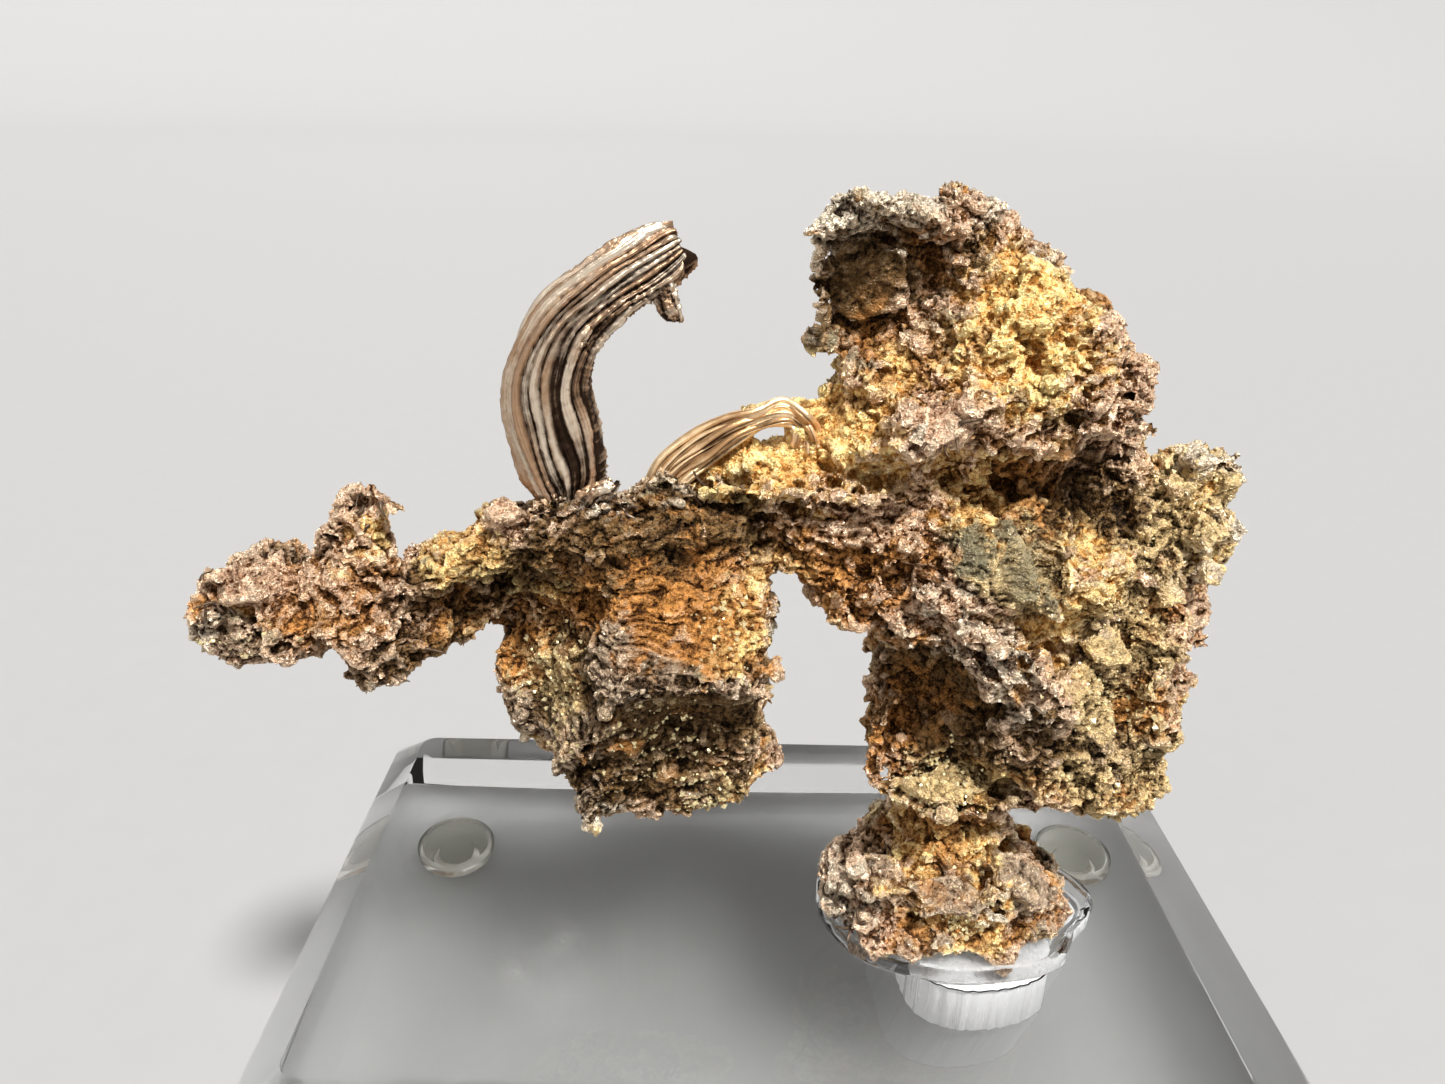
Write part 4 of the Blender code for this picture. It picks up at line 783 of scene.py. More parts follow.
def clean(made, distance=0.001 * MM):
    """Merge doubles and point the faces outwards."""
    edit(made)
    bpy.ops.mesh.remove_doubles(threshold=distance)
    bpy.ops.mesh.normals_make_consistent(inside=False)
    bpy.ops.object.mode_set(mode="OBJECT")


def join(name, parts):
    deselect()
    for made in parts:
        made.select_set(True)
    bpy.context.view_layer.objects.active = parts[0]
    bpy.ops.object.join()
    parts[0].name = name
    return parts[0]


def copy_node(node, name):
    """A copy of a CAD node's mesh, with its doubles merged."""
    made = bpy.data.objects.new(name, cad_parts[node].data.copy())
    bpy.context.scene.collection.objects.link(made)
    made.data.materials.clear()
    clean(made)
    return made


def mesh_object(name, points, faces):
    mesh = bpy.data.meshes.new(name)
    mesh.from_pydata(points, [], faces)
    made = bpy.data.objects.new(name, mesh)
    bpy.context.scene.collection.objects.link(made)
    return made


def dress(made, material, replaces=()):
    """Give a finished piece its material and its place in the frame."""
    made.data.materials.clear()
    made.data.materials.append(material)
    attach(made, "root")
    if replaces:
        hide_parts(*replaces)


def smooth_line(points, steps):
    """Catmull-Rom curve through rows of numbers, read at steps + 1 even places."""
    rows = np.array(points, float)
    rows = np.vstack([2 * rows[0] - rows[1], rows, 2 * rows[-1] - rows[-2]])
    read = []
    for place in np.linspace(0, len(points) - 1, steps + 1):
        i = min(int(place), len(points) - 2)
        t = place - i
        a, b, c, d = rows[i:i + 4]
        read.append(0.5 * (2 * b + (c - a) * t + (2 * a - 5 * b + 4 * c - d) * t ** 2
                           + (3 * b - a - 3 * c + d) * t ** 3))
    return np.array(read)


# Relief and paint of the rock

def vertex_array(mesh):
    places = np.empty(len(mesh.vertices) * 3, np.float32)
    mesh.vertices.foreach_get("co", places)
    return places.reshape(-1, 3).astype(float)


def normal_array(mesh):
    normals = np.empty(len(mesh.vertices) * 3, np.float32)
    mesh.vertex_normals.foreach_get("vector", normals)
    return normals.reshape(-1, 3).astype(float)


def raise_surface(made, heights):
    """Move each vertex along its normal by a height in millimetres."""
    places = vertex_array(made.data) + normal_array(made.data) * (heights * MM)[:, None]
    made.data.vertices.foreach_set("co", places.astype(np.float32).ravel())
    made.data.update()


def scramble(cells, seed):
    """Three even random numbers for each whole-numbered cell."""
    ways = np.array(((127.1, 311.7, 74.7), (269.5, 183.3, 246.1), (113.5, 271.9, 124.6)))
    mixed = np.sin(cells @ ways.T + seed * 17.17) * 43758.5453
    return mixed - np.floor(mixed)


def honeycomb(places, size, seed):
    """Cells of a crooked honeycomb: place in the cell, distance to its border, its numbers."""
    grid = places / size
    base = np.floor(grid)
    best = np.full(len(grid), np.inf)
    second = best.copy()
    inside = np.zeros_like(grid)
    owner = np.zeros_like(grid)
    for step in np.ndindex(3, 3, 3):
        cell = base + np.array(step) - 1
        away = grid - cell - scramble(cell, seed)
        gap = (away ** 2).sum(1)
        nearer = gap < best
        second = np.where(nearer, best, np.minimum(second, gap))
        best = np.where(nearer, gap, best)
        inside[nearer] = away[nearer]
        owner[nearer] = cell[nearer]
    return inside, np.sqrt(second) - np.sqrt(best), scramble(owner, seed + 0.5)


def broken_facets(places, size, seed, tilt, step, crease):
    """Heights of facets that each lean and stand their own way, with creases between them."""
    inside, border, numbers = honeycomb(places, size, seed)
    lean = (inside * (numbers * 2 - 1)).sum(1) * tilt
    heights = lean + (numbers[:, 0] - 0.5) * step - crease * np.exp(-(border / 0.09) ** 2)
    return heights * size, numbers, np.exp(-(border / 0.10) ** 2)


def wave(places, size, seed):
    """Smooth noise from a few crossed waves, about -1 to 1."""
    rng = np.random.default_rng(seed)
    total = np.zeros(len(places))
    for _ in range(9):
        way = rng.normal(size=3)
        way /= np.linalg.norm(way)
        total += np.sin(places @ way * (2 * np.pi / size) * rng.uniform(0.6, 1.6)
                        + rng.uniform(0, 6.28))
    return total / 3.4


def warped(places, size, amount, seed):
    return places + amount * np.stack([wave(places, size, seed + k) for k in range(3)], 1)


def nearness(places, x, y, z, reach):
    """1 at a centre, falling away over its reach."""
    return np.exp(-1.2 * ((places - (x, y, z)) ** 2).sum(1) / reach ** 2)


def slab_turn(facing, spin):
    face = Vector(facing).to_track_quat("Z", "Y").to_matrix()
    return face @ Matrix.Rotation(math.radians(spin), 3, "Z")


def slab_share(places, slab):
    """1 on a slab and 0 away from it, in the slab's own outline."""
    x, y, z, length, width, thickness, facing, spin, _ = slab
    own = (places - (x, y, z)) @ np.array(slab_turn(facing, spin))
    away = np.sqrt((own[:, 0] / length) ** 2 + (own[:, 1] / width) ** 2)
    return (np.clip((1.05 - away) * 5, 0, 1)
            * np.clip((1.3 * thickness - np.abs(own[:, 2])) * 3, 0, 1))


def calm_share(places):
    calm = [share * nearness(places, *spot) for *spot, share in CALM]
    return np.max(calm + [0.55 * slab_share(places, slab) for slab in SLABS], axis=0)


def layer_heights(places):
    """Thin broken layers, each with a steep lip over a groove."""
    heights = np.zeros(len(places))
    bent = warped(places, 5.0, 0.35, 61)
    for x, y, z, reach, thickness, way in LAYERED:
        rise = bent @ (np.array(way) / np.linalg.norm(way)) / thickness
        number = np.floor(rise)
        within = rise - number
        own = scramble(np.stack([number, np.floor(bent[:, 0] / 3.1), number * 0], 1), 3)
        lip = np.where(within < 0.72, within, (1 - within) * 2.4)
        heights += (nearness(places, x, y, z, reach) * min(thickness, 1.1)
                    * (lip * 0.62 + own[:, 0] * 0.5 - 0.5))
    return heights


def smoothed(mesh, values, rounds):
    """Average a value over the mesh's edges a number of times."""
    edges = np.empty(len(mesh.edges) * 2, np.int32)
    mesh.edges.foreach_get("vertices", edges)
    a, b = edges.reshape(-1, 2).T
    count = len(mesh.vertices)
    share = 1 / np.maximum(np.bincount(a, minlength=count) + np.bincount(b, minlength=count), 1)
    columns = []
    for column in np.atleast_2d(values.T):
        for _ in range(rounds):
            total = np.bincount(a, column[b], count) + np.bincount(b, column[a], count)
            column = 0.4 * column + 0.6 * total * share
        columns.append(column)
    return np.stack(columns, 1) if values.ndim > 1 else columns[0]


def crest_height(mesh, rounds, scale):
    """How far each vertex stands over its neighbourhood: 1 on crests, -1 in pits."""
    places = vertex_array(mesh)
    away = ((places - smoothed(mesh, places, rounds)) * normal_array(mesh)).sum(1)
    return np.clip(away / scale, -1, 1)


def mineral_shares(places, plates, crest):
    """Share of each mineral: from the patches, broad waves, the plates and the relief."""
    moved = warped(warped(places, 3.6, 0.7, 11), 1.3, 0.35, 15)
    shares = []
    for k, mineral in enumerate(MINERALS):
        share = BACKGROUND[mineral] * np.clip(0.5 + 1.2 * wave(places, 7.0, 21 + k), 0, 2.5)
        for x, y, z, reach in PATCHES[mineral]:
            gap = moved - (x, y, z)
            gap[:, 1] *= 0.75
            share += 1.9 * np.exp(-1.1 * (gap ** 2).sum(1) / reach ** 2)
        share = share * (0.25 + 1.4 * ((plates[:, k % 3] * (k + 3.7)) % 1))
        for slab in SLABS:
            if slab[-1] == mineral:
                share += (3.6 if mineral == "slate" else 2.0) * slab_share(moved, slab)
        shares.append(share * np.clip(1 + ON_CREST[mineral] * crest, 0.2, 2))
    shares = np.stack(shares, 1) ** 2.2
    return shares / shares.sum(1)[:, None]


def store(mesh, name, values):
    """Store one number or one colour for each vertex."""
    if values.ndim == 1:
        layer = mesh.attributes.new(name, "FLOAT", "POINT")
        layer.data.foreach_set("value", values.astype(np.float32))
    else:
        layer = mesh.attributes.new(name, "FLOAT_COLOR", "POINT")
        full = np.ones((len(values), 4), np.float32)
        full[:, :3] = values
        layer.data.foreach_set("color", full.ravel())


def paint_rock(mesh, plates, cracks, settings):
    """Tones in hollows and on crests, metal share and relief, stored on the vertices."""
    near = crest_height(mesh, 5, 0.09 * MM)
    middle = crest_height(mesh, 25, 0.28 * MM)
    broad = crest_height(mesh, 110, 0.9 * MM)
    shares = mineral_shares(vertex_array(mesh) / MM, plates, middle)
    low = np.array([getattr(settings, m + "_low") for m in MINERALS])
    high = np.array([getattr(settings, m + "_high") for m in MINERALS])
    store(mesh, "tone_low", shares @ low)
    store(mesh, "tone_high", shares @ high)
    store(mesh, "metal", shares @ np.array([METAL[m] for m in MINERALS]))
    store(mesh, "pits", shares @ np.array([PIT_SPECKS_AND_SHADE[m] for m in MINERALS]))
    store(mesh, "calm", calm_share(vertex_array(mesh) / MM))
    # The relief drops in the cracks between facets, so the material paints them darker as shade in the creases.
    store(mesh, "relief", np.clip(0.35 * near + 0.55 * middle + 0.6 * broad
                                  + 0.25 * (plates[:, 1] - 0.5) - 0.5 * cracks, -1, 1))


def plate_shape():
    """A thin six-sided plate with a worn corner."""
    deselect()
    bpy.ops.mesh.primitive_cylinder_add(vertices=5, radius=1.0, depth=0.5)
    made = bpy.context.active_object
    bpy.ops.object.mode_set(mode="EDIT")
    bpy.ops.mesh.select_all(action="SELECT")
    bpy.ops.mesh.bisect(plane_co=(0.5, 0.2, 0.0), plane_no=(0.8, 0.3, 0.5), use_fill=True,
                        clear_outer=True)
    bpy.ops.object.mode_set(mode="OBJECT")
    points = vertex_array(made.data)
    faces = [tuple(p.vertices) for p in made.data.polygons]
    bpy.data.objects.remove(made)
    return points, faces


def crystal_shape():
    """An octahedron."""
    points = np.array(((1, 0, 0), (-1, 0, 0), (0, 1, 0), (0, -1, 0), (0, 0, 1), (0, 0, -1)), float)
    faces = [(0, 2, 4), (2, 1, 4), (1, 3, 4), (3, 0, 4), (2, 0, 5), (1, 2, 5), (3, 1, 5),
             (0, 3, 5)]
    return points, faces


class Rubble:
    """Collects many small placed shapes into one mesh."""

    def __init__(self, seed):
        self.rng = np.random.default_rng(seed)
        self.points = []
        self.faces = []
        self.count = 0

    def add(self, shape, centre, turn, size):
        points, faces = shape
        self.points.append((points * size) @ np.array(turn).T + centre)
        self.faces.extend(tuple(self.count + v for v in face) for face in faces)
        self.count += len(points)

    def leaning(self, normal, lean):
        """A turn that faces along a normal, spun and leant at random."""
        face = Vector(normal).to_track_quat("Z", "Y").to_matrix()
        spin = Matrix.Rotation(self.rng.uniform(0, 6.28), 3, "Z")
        return face @ spin @ Matrix.Rotation(self.rng.normal(0, lean), 3, "X")

    def made(self, name):
        return mesh_object(name, np.concatenate(self.points).tolist(), self.faces)


def face_arrays(mesh):
    count = len(mesh.polygons)
    centres = np.empty(count * 3, np.float32)
    normals = np.empty(count * 3, np.float32)
    areas = np.empty(count, np.float32)
    mesh.polygons.foreach_get("center", centres)
    mesh.polygons.foreach_get("normal", normals)
    mesh.polygons.foreach_get("area", areas)
    return centres.reshape(-1, 3).astype(float), normals.reshape(-1, 3), areas.astype(float)


def over_rim(centre):
    """True where a shard would hang over the tray's rim."""
    x, y = centre[0] - RISER_CENTRE[0], centre[1] - RISER_CENTRE[1]
    degrees = math.degrees(math.atan2(y, x)) % 360
    return centre[2] < 38.5 and math.hypot(x, y) > outline_radius(TRAY_OUTLINE, degrees) - 1.2


def scatter_shards(base, settings):
    """Plates and crystals of many sizes, half sunk in the surface."""
    rubble = Rubble(settings.seed)
    rng = rubble.rng
    centres, normals, areas = face_arrays(base.data)
    calm = calm_share(centres / MM)
    weights = areas * (1.1 - calm)
    plate, crystal = plate_shape(), crystal_shape()
    for i in rng.choice(len(areas), settings.shards, p=weights / weights.sum()):
        size = (0.36 + 0.85 * rng.random() ** 3) * (1.0 - 0.4 * calm[i])
        shape = plate if rng.random() < 0.8 else crystal
        stretch = (1.0, rng.uniform(0.5, 0.9), rng.uniform(0.6, 1.0))
        turn = rubble.leaning(normals[i], 0.5)
        centre = centres[i] / MM + normals[i] * size * rng.uniform(-0.4, 0.15)
        if not over_rim(centre):
            rubble.add(shape, centre * MM, turn, np.array(stretch) * size * MM)
    return rubble.made("shards")


def lay_ledges(settings):
    """Rows of overlapping broken plates along the ledges."""
    rubble = Rubble(settings.seed + 1)
    rng = rubble.rng
    plate = plate_shape()
    for length, depth, thickness, places in LEDGES:
        line = smooth_line(places, 40)
        run = np.linalg.norm(line[-1] - line[0])
        for place in np.linspace(0, 40, max(int(run / 0.42), 3)):
            spot = line[int(place)]
            ahead = line[min(int(place) + 1, 40)] - line[max(int(place) - 1, 0)]
            slope = math.atan2(ahead[2], ahead[0]) if abs(ahead[0]) > 0.01 else 1.5
            turn = (Matrix.Rotation(-slope + rng.normal(0, 0.3), 3, "Y")
                    @ Matrix.Rotation(rng.normal(0.1, 0.35), 3, "X")
                    @ Matrix.Rotation(rng.uniform(0, 6.28), 3, "Z"))
            size = np.array((length, depth, thickness * 2)) * rng.uniform(0.4, 0.75)
            shaken = spot + rng.normal(0, 0.3, 3) - (0, 0.35, 0)
            rubble.add(plate, shaken * MM, turn, size * MM)
    return rubble.made("ledges")


def lay_slabs(settings):
    rubble = Rubble(settings.seed + 2)
    plate = plate_shape()
    for x, y, z, length, width, thickness, facing, spin, _ in SLABS:
        rubble.add(plate, mm(x, y, z), slab_turn(facing, spin),
                   np.array((length, width, thickness * 2)) * MM)
    return rubble.made("slabs")


def rock_body(settings):
    """All the rock branches as one fine, hackly surface, and the numbers of its plates."""
    copies = [copy_node(name, name + "_copy") for name in BRANCHES]
    body = join("rock_body", copies)
    modify(body, "DISPLACE", strength=settings.swell, mid_level=0.0)
    modify(body, "REMESH", mode="VOXEL", voxel_size=settings.coarse)
    modify(body, "SMOOTH", factor=0.6, iterations=5)
    places = vertex_array(body.data) / MM
    live = 1.0 - calm_share(places)
    lumps = 0.22 * wave(places, 6.0, 1) + 0.14 * wave(places, 3.0, 2)
    facets = broken_facets(warped(places, 4.0, 0.4, 31), 3.4, 5, 0.30, 0.20, 0.06)[0]
    caves = sum(depth * nearness(places, *spot) for *spot, depth in CAVES)
    raise_surface(body, live * (lumps + facets) - caves - 0.2)
    loose = [scatter_shards(body, settings), lay_ledges(settings), lay_slabs(settings)]
    body = join("rock_body", [body, *loose])
    modify(body, "REMESH", mode="VOXEL", voxel_size=settings.fine)
    modify(body, "SMOOTH", factor=0.5, iterations=1)
    places = vertex_array(body.data) / MM
    live = 1.0 - 0.85 * calm_share(places)
    bent = warped(places, 4.0, 0.5, 41) * (0.9, 1.0, 1.2)
    blocks = broken_facets(bent, 2.6, 6, 0.16, 0.13, 0.04)[0]
    facets, plates, cracks = broken_facets(bent, 1.2, 8, 0.24, 0.17, 0.09)
    chips, _, nicks = broken_facets(bent, 0.6, 9, 0.36, 0.26, 0.12)
    raise_surface(body, live * (blocks + facets + chips) + layer_heights(places))
    return body, plates, live * np.maximum(cracks, 0.8 * nicks)


def branch_numbers(centres):
    """For each place, the number of the branch whose cell holds it in the front view."""
    x, z = centres[:, 0] / MM, centres[:, 2] / MM
    owner = np.full(len(centres), BRANCHES.index("hanging_block"))
    for name, corners in CELLS.items():
        inside = np.zeros(len(centres), bool)
        for (ax, az), (bx, bz) in zip(corners, corners[1:] + corners[:1]):
            if az != bz:
                inside ^= ((az > z) != (bz > z)) & (x < ax + (z - az) * (bx - ax) / (bz - az))
        owner[inside] = BRANCHES.index(name)
    return owner


def part_branch(body, chosen, name):
    """The chosen faces as a piece of its own, which meets its neighbours along the forks."""
    piece = bpy.data.objects.new(name, body.data.copy())
    bpy.context.scene.collection.objects.link(piece)
    bm = bmesh.new()
    bm.from_mesh(piece.data)
    bm.faces.ensure_lookup_table()
    bmesh.ops.delete(bm, geom=[bm.faces[int(i)] for i in np.nonzero(~chosen)[0]],
                     context="FACES")
    bm.to_mesh(piece.data)
    bm.free()
    return piece


def brassy_grains(body, seed):
    """Small bright crystals seated on the rock."""
    rubble = Rubble(seed)
    rng = rubble.rng
    centres, normals, _ = face_arrays(body.data)
    crystal = crystal_shape()
    for x, y, z, reach, count in GRAINS:
        close = nearness(centres / MM, x, y, z, reach) * (normals[:, 1] < 0.6)
        for i in rng.choice(len(close), count, p=close ** 2 / (close ** 2).sum()):
            size = (0.13 + 0.26 * rng.random() ** 2) * np.array((1.0, rng.uniform(0.7, 1.0), 0.8))
            rubble.add(crystal, centres[i], rubble.leaning(normals[i], 0.6), size * MM)
    return rubble.made("brassy_grains")


class SPECIMEN_OT_rock(bpy.types.Operator):
    """Model the rock branches from the frame's solids and paint them by mineral"""
    bl_idname = "specimen.rock"
    bl_label = "Rock branches"

    def execute(self, context):
        settings = context.scene.specimen_rock
        body, plates, cracks = rock_body(settings)
        paint_rock(body.data, plates, cracks, settings)
        pick(body)
        bpy.ops.object.shade_smooth_by_angle(angle=math.radians(38))
        centres = face_arrays(body.data)[0]
        owner = branch_numbers(centres)
        low_part = centres[:, 2] < settings.column_split
        material = rock_material("hackly_silver")
        for number, name in enumerate(BRANCHES):
            chosen = owner == number
            if name == "silver_column":
                lower = part_branch(body, chosen & low_part, "silver_column_lower_rock")
                dress(lower, material, [name])
                chosen &= ~low_part
            dress(part_branch(body, chosen, name + "_rock"), material, [name])
        grains = brassy_grains(body, settings.seed)
        dress(grains, brass_material("brassy_grain"))
        bpy.data.objects.remove(body)
        return {"FINISHED"}


def fluted_ribbon(name, line, thickness, ridges, height, seed, around=240, steps=180, rag=0.07, shade=0.42):
    """A closed ribbon along a line, fluted lengthwise, with each ridge broken off on its own.

    The line's rows are x, y, z and half width in millimetres; thickness and height are too."""
    rng = np.random.default_rng(seed)
    centre = smooth_line(line, 200)
    along = np.gradient(centre[:, :3], axis=0)
    along /= np.linalg.norm(along, axis=1)[:, None]
    across = np.cross(along, (0, 1, 0))
    across /= np.linalg.norm(across, axis=1)[:, None]
    depth = np.cross(across, along)
    widths = rng.uniform(0.55, 1.0, ridges) * np.linspace(0.7, 1.1, ridges)
    borders = np.concatenate([[0], np.cumsum(widths)]) / widths.sum()
    turn = np.linspace(0, 2 * np.pi, around, endpoint=False)[None, :]
    part = np.linspace(0, 1, steps + 1)[:, None]
    side = np.where(np.sin(turn) >= 0, 0, ridges)
    x = np.sign(np.cos(turn)) * np.abs(np.cos(turn)) ** 0.75
    y = np.sign(np.sin(turn)) * np.abs(np.sin(turn)) ** 0.6
    wander = 0.018 * np.sin(part * 9 + x * 2 + seed) + 0.012 * np.sin(part * 23 + x * 5)
    run = np.cumsum(np.hypot(np.gradient(2 * x[0]), np.gradient(y[0])))
    run = 2 * (run - run[0]) / (run[-1] - run[0])
    round_face = np.minimum(run, 2 - run)[None, :]
    phase = np.interp(np.clip(round_face + wander, 0, 1), borders,
                      np.linspace(0.5, ridges - 0.5, ridges + 1))
    number = np.floor(phase).astype(int)
    within = phase - number
    edges = (number == 0) | (number == ridges - 1)
    number = number + np.where(edges, 0, side)
    swell = rng.uniform(0.7, 1.2, 2 * ridges) * np.tile(np.linspace(1.1, 0.75, ridges), 2)
    swell = swell[number]
    swell = swell * (1 + 0.35 * np.sin(part * 7 + number * 2.4) + 0.12 * np.sin(part * 31 + number))
    round_top = np.sqrt(np.clip(1 - (2 * within - 1) ** 2, 0, 1))
    striae = np.abs(np.sin(phase * 9.4 + np.sin(part * 12 + number)))
    fine = 0.2 * striae + 0.05 * np.sin(part * 160 + number * 5) * np.sin(part * 57 + x * 9)
    raised = height * (1 + 0.7 * np.exp(-part / 0.2)) * (swell * round_top + fine - 0.6)
    teeth = rng.uniform(0, 1, 400)[(part * 130).astype(int)] ** 3
    teeth = teeth * np.clip(-x, 0, 1) ** 6
    raised = raised + 0.45 * height * teeth
    ends = rng.uniform(0, 1, 2 * ridges)[number % ridges]
    reach = part * (1 - rag * ends * part ** 8)
    read = np.linspace(0, 1, len(centre))

    def at(rows):
        return np.stack([np.interp(reach, read, column) for column in rows.T], -1)

    half = at(centre[:, 3:])[..., 0] * (1 - 0.3 * part ** 40)
    thick = thickness / 2 * (1.1 - 0.35 * reach) * np.minimum(half / half.max() + 0.15, 1)
    edge = np.abs(x) ** 3
    points = (at(centre[:, :3]) + at(across) * (x * (half + raised * edge))[..., None]
              + at(depth) * (y * thick + np.sign(y) * raised * (1 - edge) * np.abs(y) ** 0.5)[..., None])
    tip = points[-1]
    rings = [points.reshape(-1, 3), tip * 0.55 + tip.mean(0) * 0.45, tip.mean(0)[None]]
    rows = steps + 2
    faces = [(r * around + i, r * around + (i + 1) % around, (r + 1) * around + (i + 1) % around,
              (r + 1) * around + i) for r in range(rows - 1) for i in range(around)]
    last = rows * around
    faces += [((rows - 1) * around + i, (rows - 1) * around + (i + 1) % around, last)
              for i in range(around)]
    faces.append(tuple(reversed(range(around))))
    made = mesh_object(name, (np.concatenate(rings) * MM).tolist(), faces)
    spread = np.ones((1, around))
    # The relief also paints light: lighter along one long edge (x above 0) as painted highlight, darker along
    # the other edge and towards the root as painted shade, which shade sets.
    relief = (1.3 * swell * round_top + 1.2 * fine - 0.78 + teeth + 0.5 * np.clip(x, 0, 1) ** 1.5
              - 0.15 * np.clip(-x, 0, 1)
              - shade * np.exp(-(part / 0.3) ** 2) * (1 - 0.4 * x)) * spread
    tone = rng.uniform(0, 1, 2 * ridges)[number]
    fibre = np.sin(phase * 27 + 2 * np.sin(part * 5 + number))
    streak = np.clip(0.25 + 0.5 * tone + 0.2 * np.sin(part * 11 + number * 1.7) + 0.08 * fibre,
                     0, 1) * spread
    for label, values in (("relief", relief), ("streak", streak)):
        end = np.concatenate([values.ravel(), values[-1] - 0.3, [-0.3]])
        store(made.data, label, end)
    clean(made, 0.0)
    made.data.shade_smooth()
    return made


def loose_wires(name, seed):
    """Short curling wires that spring from the rock, each ending in a worn tip."""
    rng = np.random.default_rng(seed)
    curve = bpy.data.curves.new(name, "CURVE")
    curve.dimensions = "3D"
    curve.bevel_depth = 1.0
    curve.bevel_resolution = 2
    curve.use_fill_caps = True
    rock = np.concatenate([vertex_array(bpy.data.objects[branch + "_rock"].data)
                           for branch in BRANCHES + ("silver_column_lower",)]) / MM
    for x, y, z, reach, count in HAIRS:
        for _ in range(count):
            start = np.array((x, y, z)) + rng.normal(0, reach / 2, 3) * (1, 0.4, 1)
            start = rock[((rock - start) ** 2).sum(1).argmin()]
            heading = rng.normal(0, 1, 3) + (0, -0.8, 0.4)
            bend = rng.normal(0, 1, 3)
            radius = rng.uniform(0.11, 0.2)
            spline = curve.splines.new("POLY")
            count_points = 11
            spline.points.add(count_points - 1)
            for k in range(count_points):
                spline.points[k].co = (*(start * MM), 1.0)
                spline.points[k].radius = radius * MM * (1.1 - 0.75 * k / count_points)
                heading = heading + 0.32 * bend + rng.normal(0, 0.12, 3)
                heading = heading / np.linalg.norm(heading)
                start = start + heading * 0.17
    made = bpy.data.objects.new(name, curve)
    bpy.context.scene.collection.objects.link(made)
    pick(made)
    bpy.ops.object.convert(target="MESH")
    made = bpy.context.active_object
    made.data.shade_smooth()
    for label, value in (("relief", -0.05), ("streak", 0.4)):
        store(made.data, label, np.full(len(made.data.vertices), value))
    return made


class SPECIMEN_OT_wires(bpy.types.Operator):
    """Model the curled ribbon, its shred, the strap and the curled lip of wire silver"""
    bl_idname = "specimen.wires"
    bl_label = "Silver wires"

    def execute(self, context):
        settings = context.scene.specimen_wires
        thickness = settings.thickness / MM
        height = settings.ridge_height / MM
        silver = wire_material("wire_silver", settings.silver, settings.stain, settings.tarnish,
                               lift=0.30)
        curl = fluted_ribbon("silver_curl_ribbon", CURL_LINE, thickness, settings.ridges, height,
                             seed=3, rag=0.05)
        places = vertex_array(curl.data) / MM
        crust = broken_facets(places, 0.45, 4, 0.4, 0.4, 0.1)[0]
        rough = sum(nearness(places, *spot) for spot in CURL_CRUST)
        raise_surface(curl, np.clip(rough, 0.3, 1) * crust)
        dress(curl, silver, ["silver_curl"])
        small = {"thickness": 0.3 * thickness, "height": 0.4 * height, "around": 96, "steps": 60,
                 "shade": 0.1}
        shred = fluted_ribbon("silver_shred", SHRED_LINE, ridges=3, seed=5, rag=0.3, **small)
        lip = fluted_ribbon("silver_lip", LIP_LINE, ridges=3, seed=8, rag=0.3, **small)
        for made in (shred, lip):
            raise_surface(made, broken_facets(vertex_array(made.data) / MM, 0.4, 6, 0.4, 0.3, 0.1)[0])
        for made in (shred, lip, loose_wires("loose_wires", 4)):
            dress(made, silver)
        golden = wire_material("golden_wire", settings.strap, settings.strap_stain,
                               settings.tarnish, lift=0.85)
        dress(self.strap(settings.strands), golden)
        return {"FINISHED"}

    def strap(self, strands):
        """Strands that run side by side, crossing a little, and part at both ends."""
        rng = np.random.default_rng(9)
        line = np.array(STRAP_LINE)
        ahead = np.gradient(line[:, :3], axis=0)
        across = np.cross(ahead, (0, 1, 0))
        across /= np.linalg.norm(across, axis=1)[:, None]
        made = []
        for number in range(strands):
            aside = (2 * number / (strands - 1) - 1) * line[:, 3] + rng.normal(0, 0.10, len(line))
            route = line.copy()
            route[:, :3] += across * aside[:, None]
            route[:, 1] += rng.normal(0, 0.25, len(line)) + rng.normal(0, 0.15)
            route[:, 3] = rng.uniform(0.20, 0.36)
            made.append(fluted_ribbon(f"strand_{number}", route, 0.62, ridges=2, height=0.14,
                                      seed=30 + number, around=36, steps=90, rag=0.1, shade=0.1))
        return join("silver_strap", made)


# The stand

def outline_radius(outline, degrees):
    """Radii of a closed outline at angles in degrees, on a smooth curve through its points."""
    angles = np.array([a for a, _ in outline], float)
    radii = np.array([r for _, r in outline], float)
    count = len(outline)
    after = np.searchsorted(angles, degrees, side="right")
    start = angles[(after - 1) % count]
    end = np.where(after == count, 360.0, angles[after % count])
    t = (degrees - start) / (end - start)
    a, b, c, d = (radii[(after - 1 + k) % count] for k in (-1, 0, 1, 2))
    return 0.5 * (2 * b + (c - a) * t + (2 * a - 5 * b + 4 * c - d) * t ** 2
                  + (3 * b - a - 3 * c + d) * t ** 3)


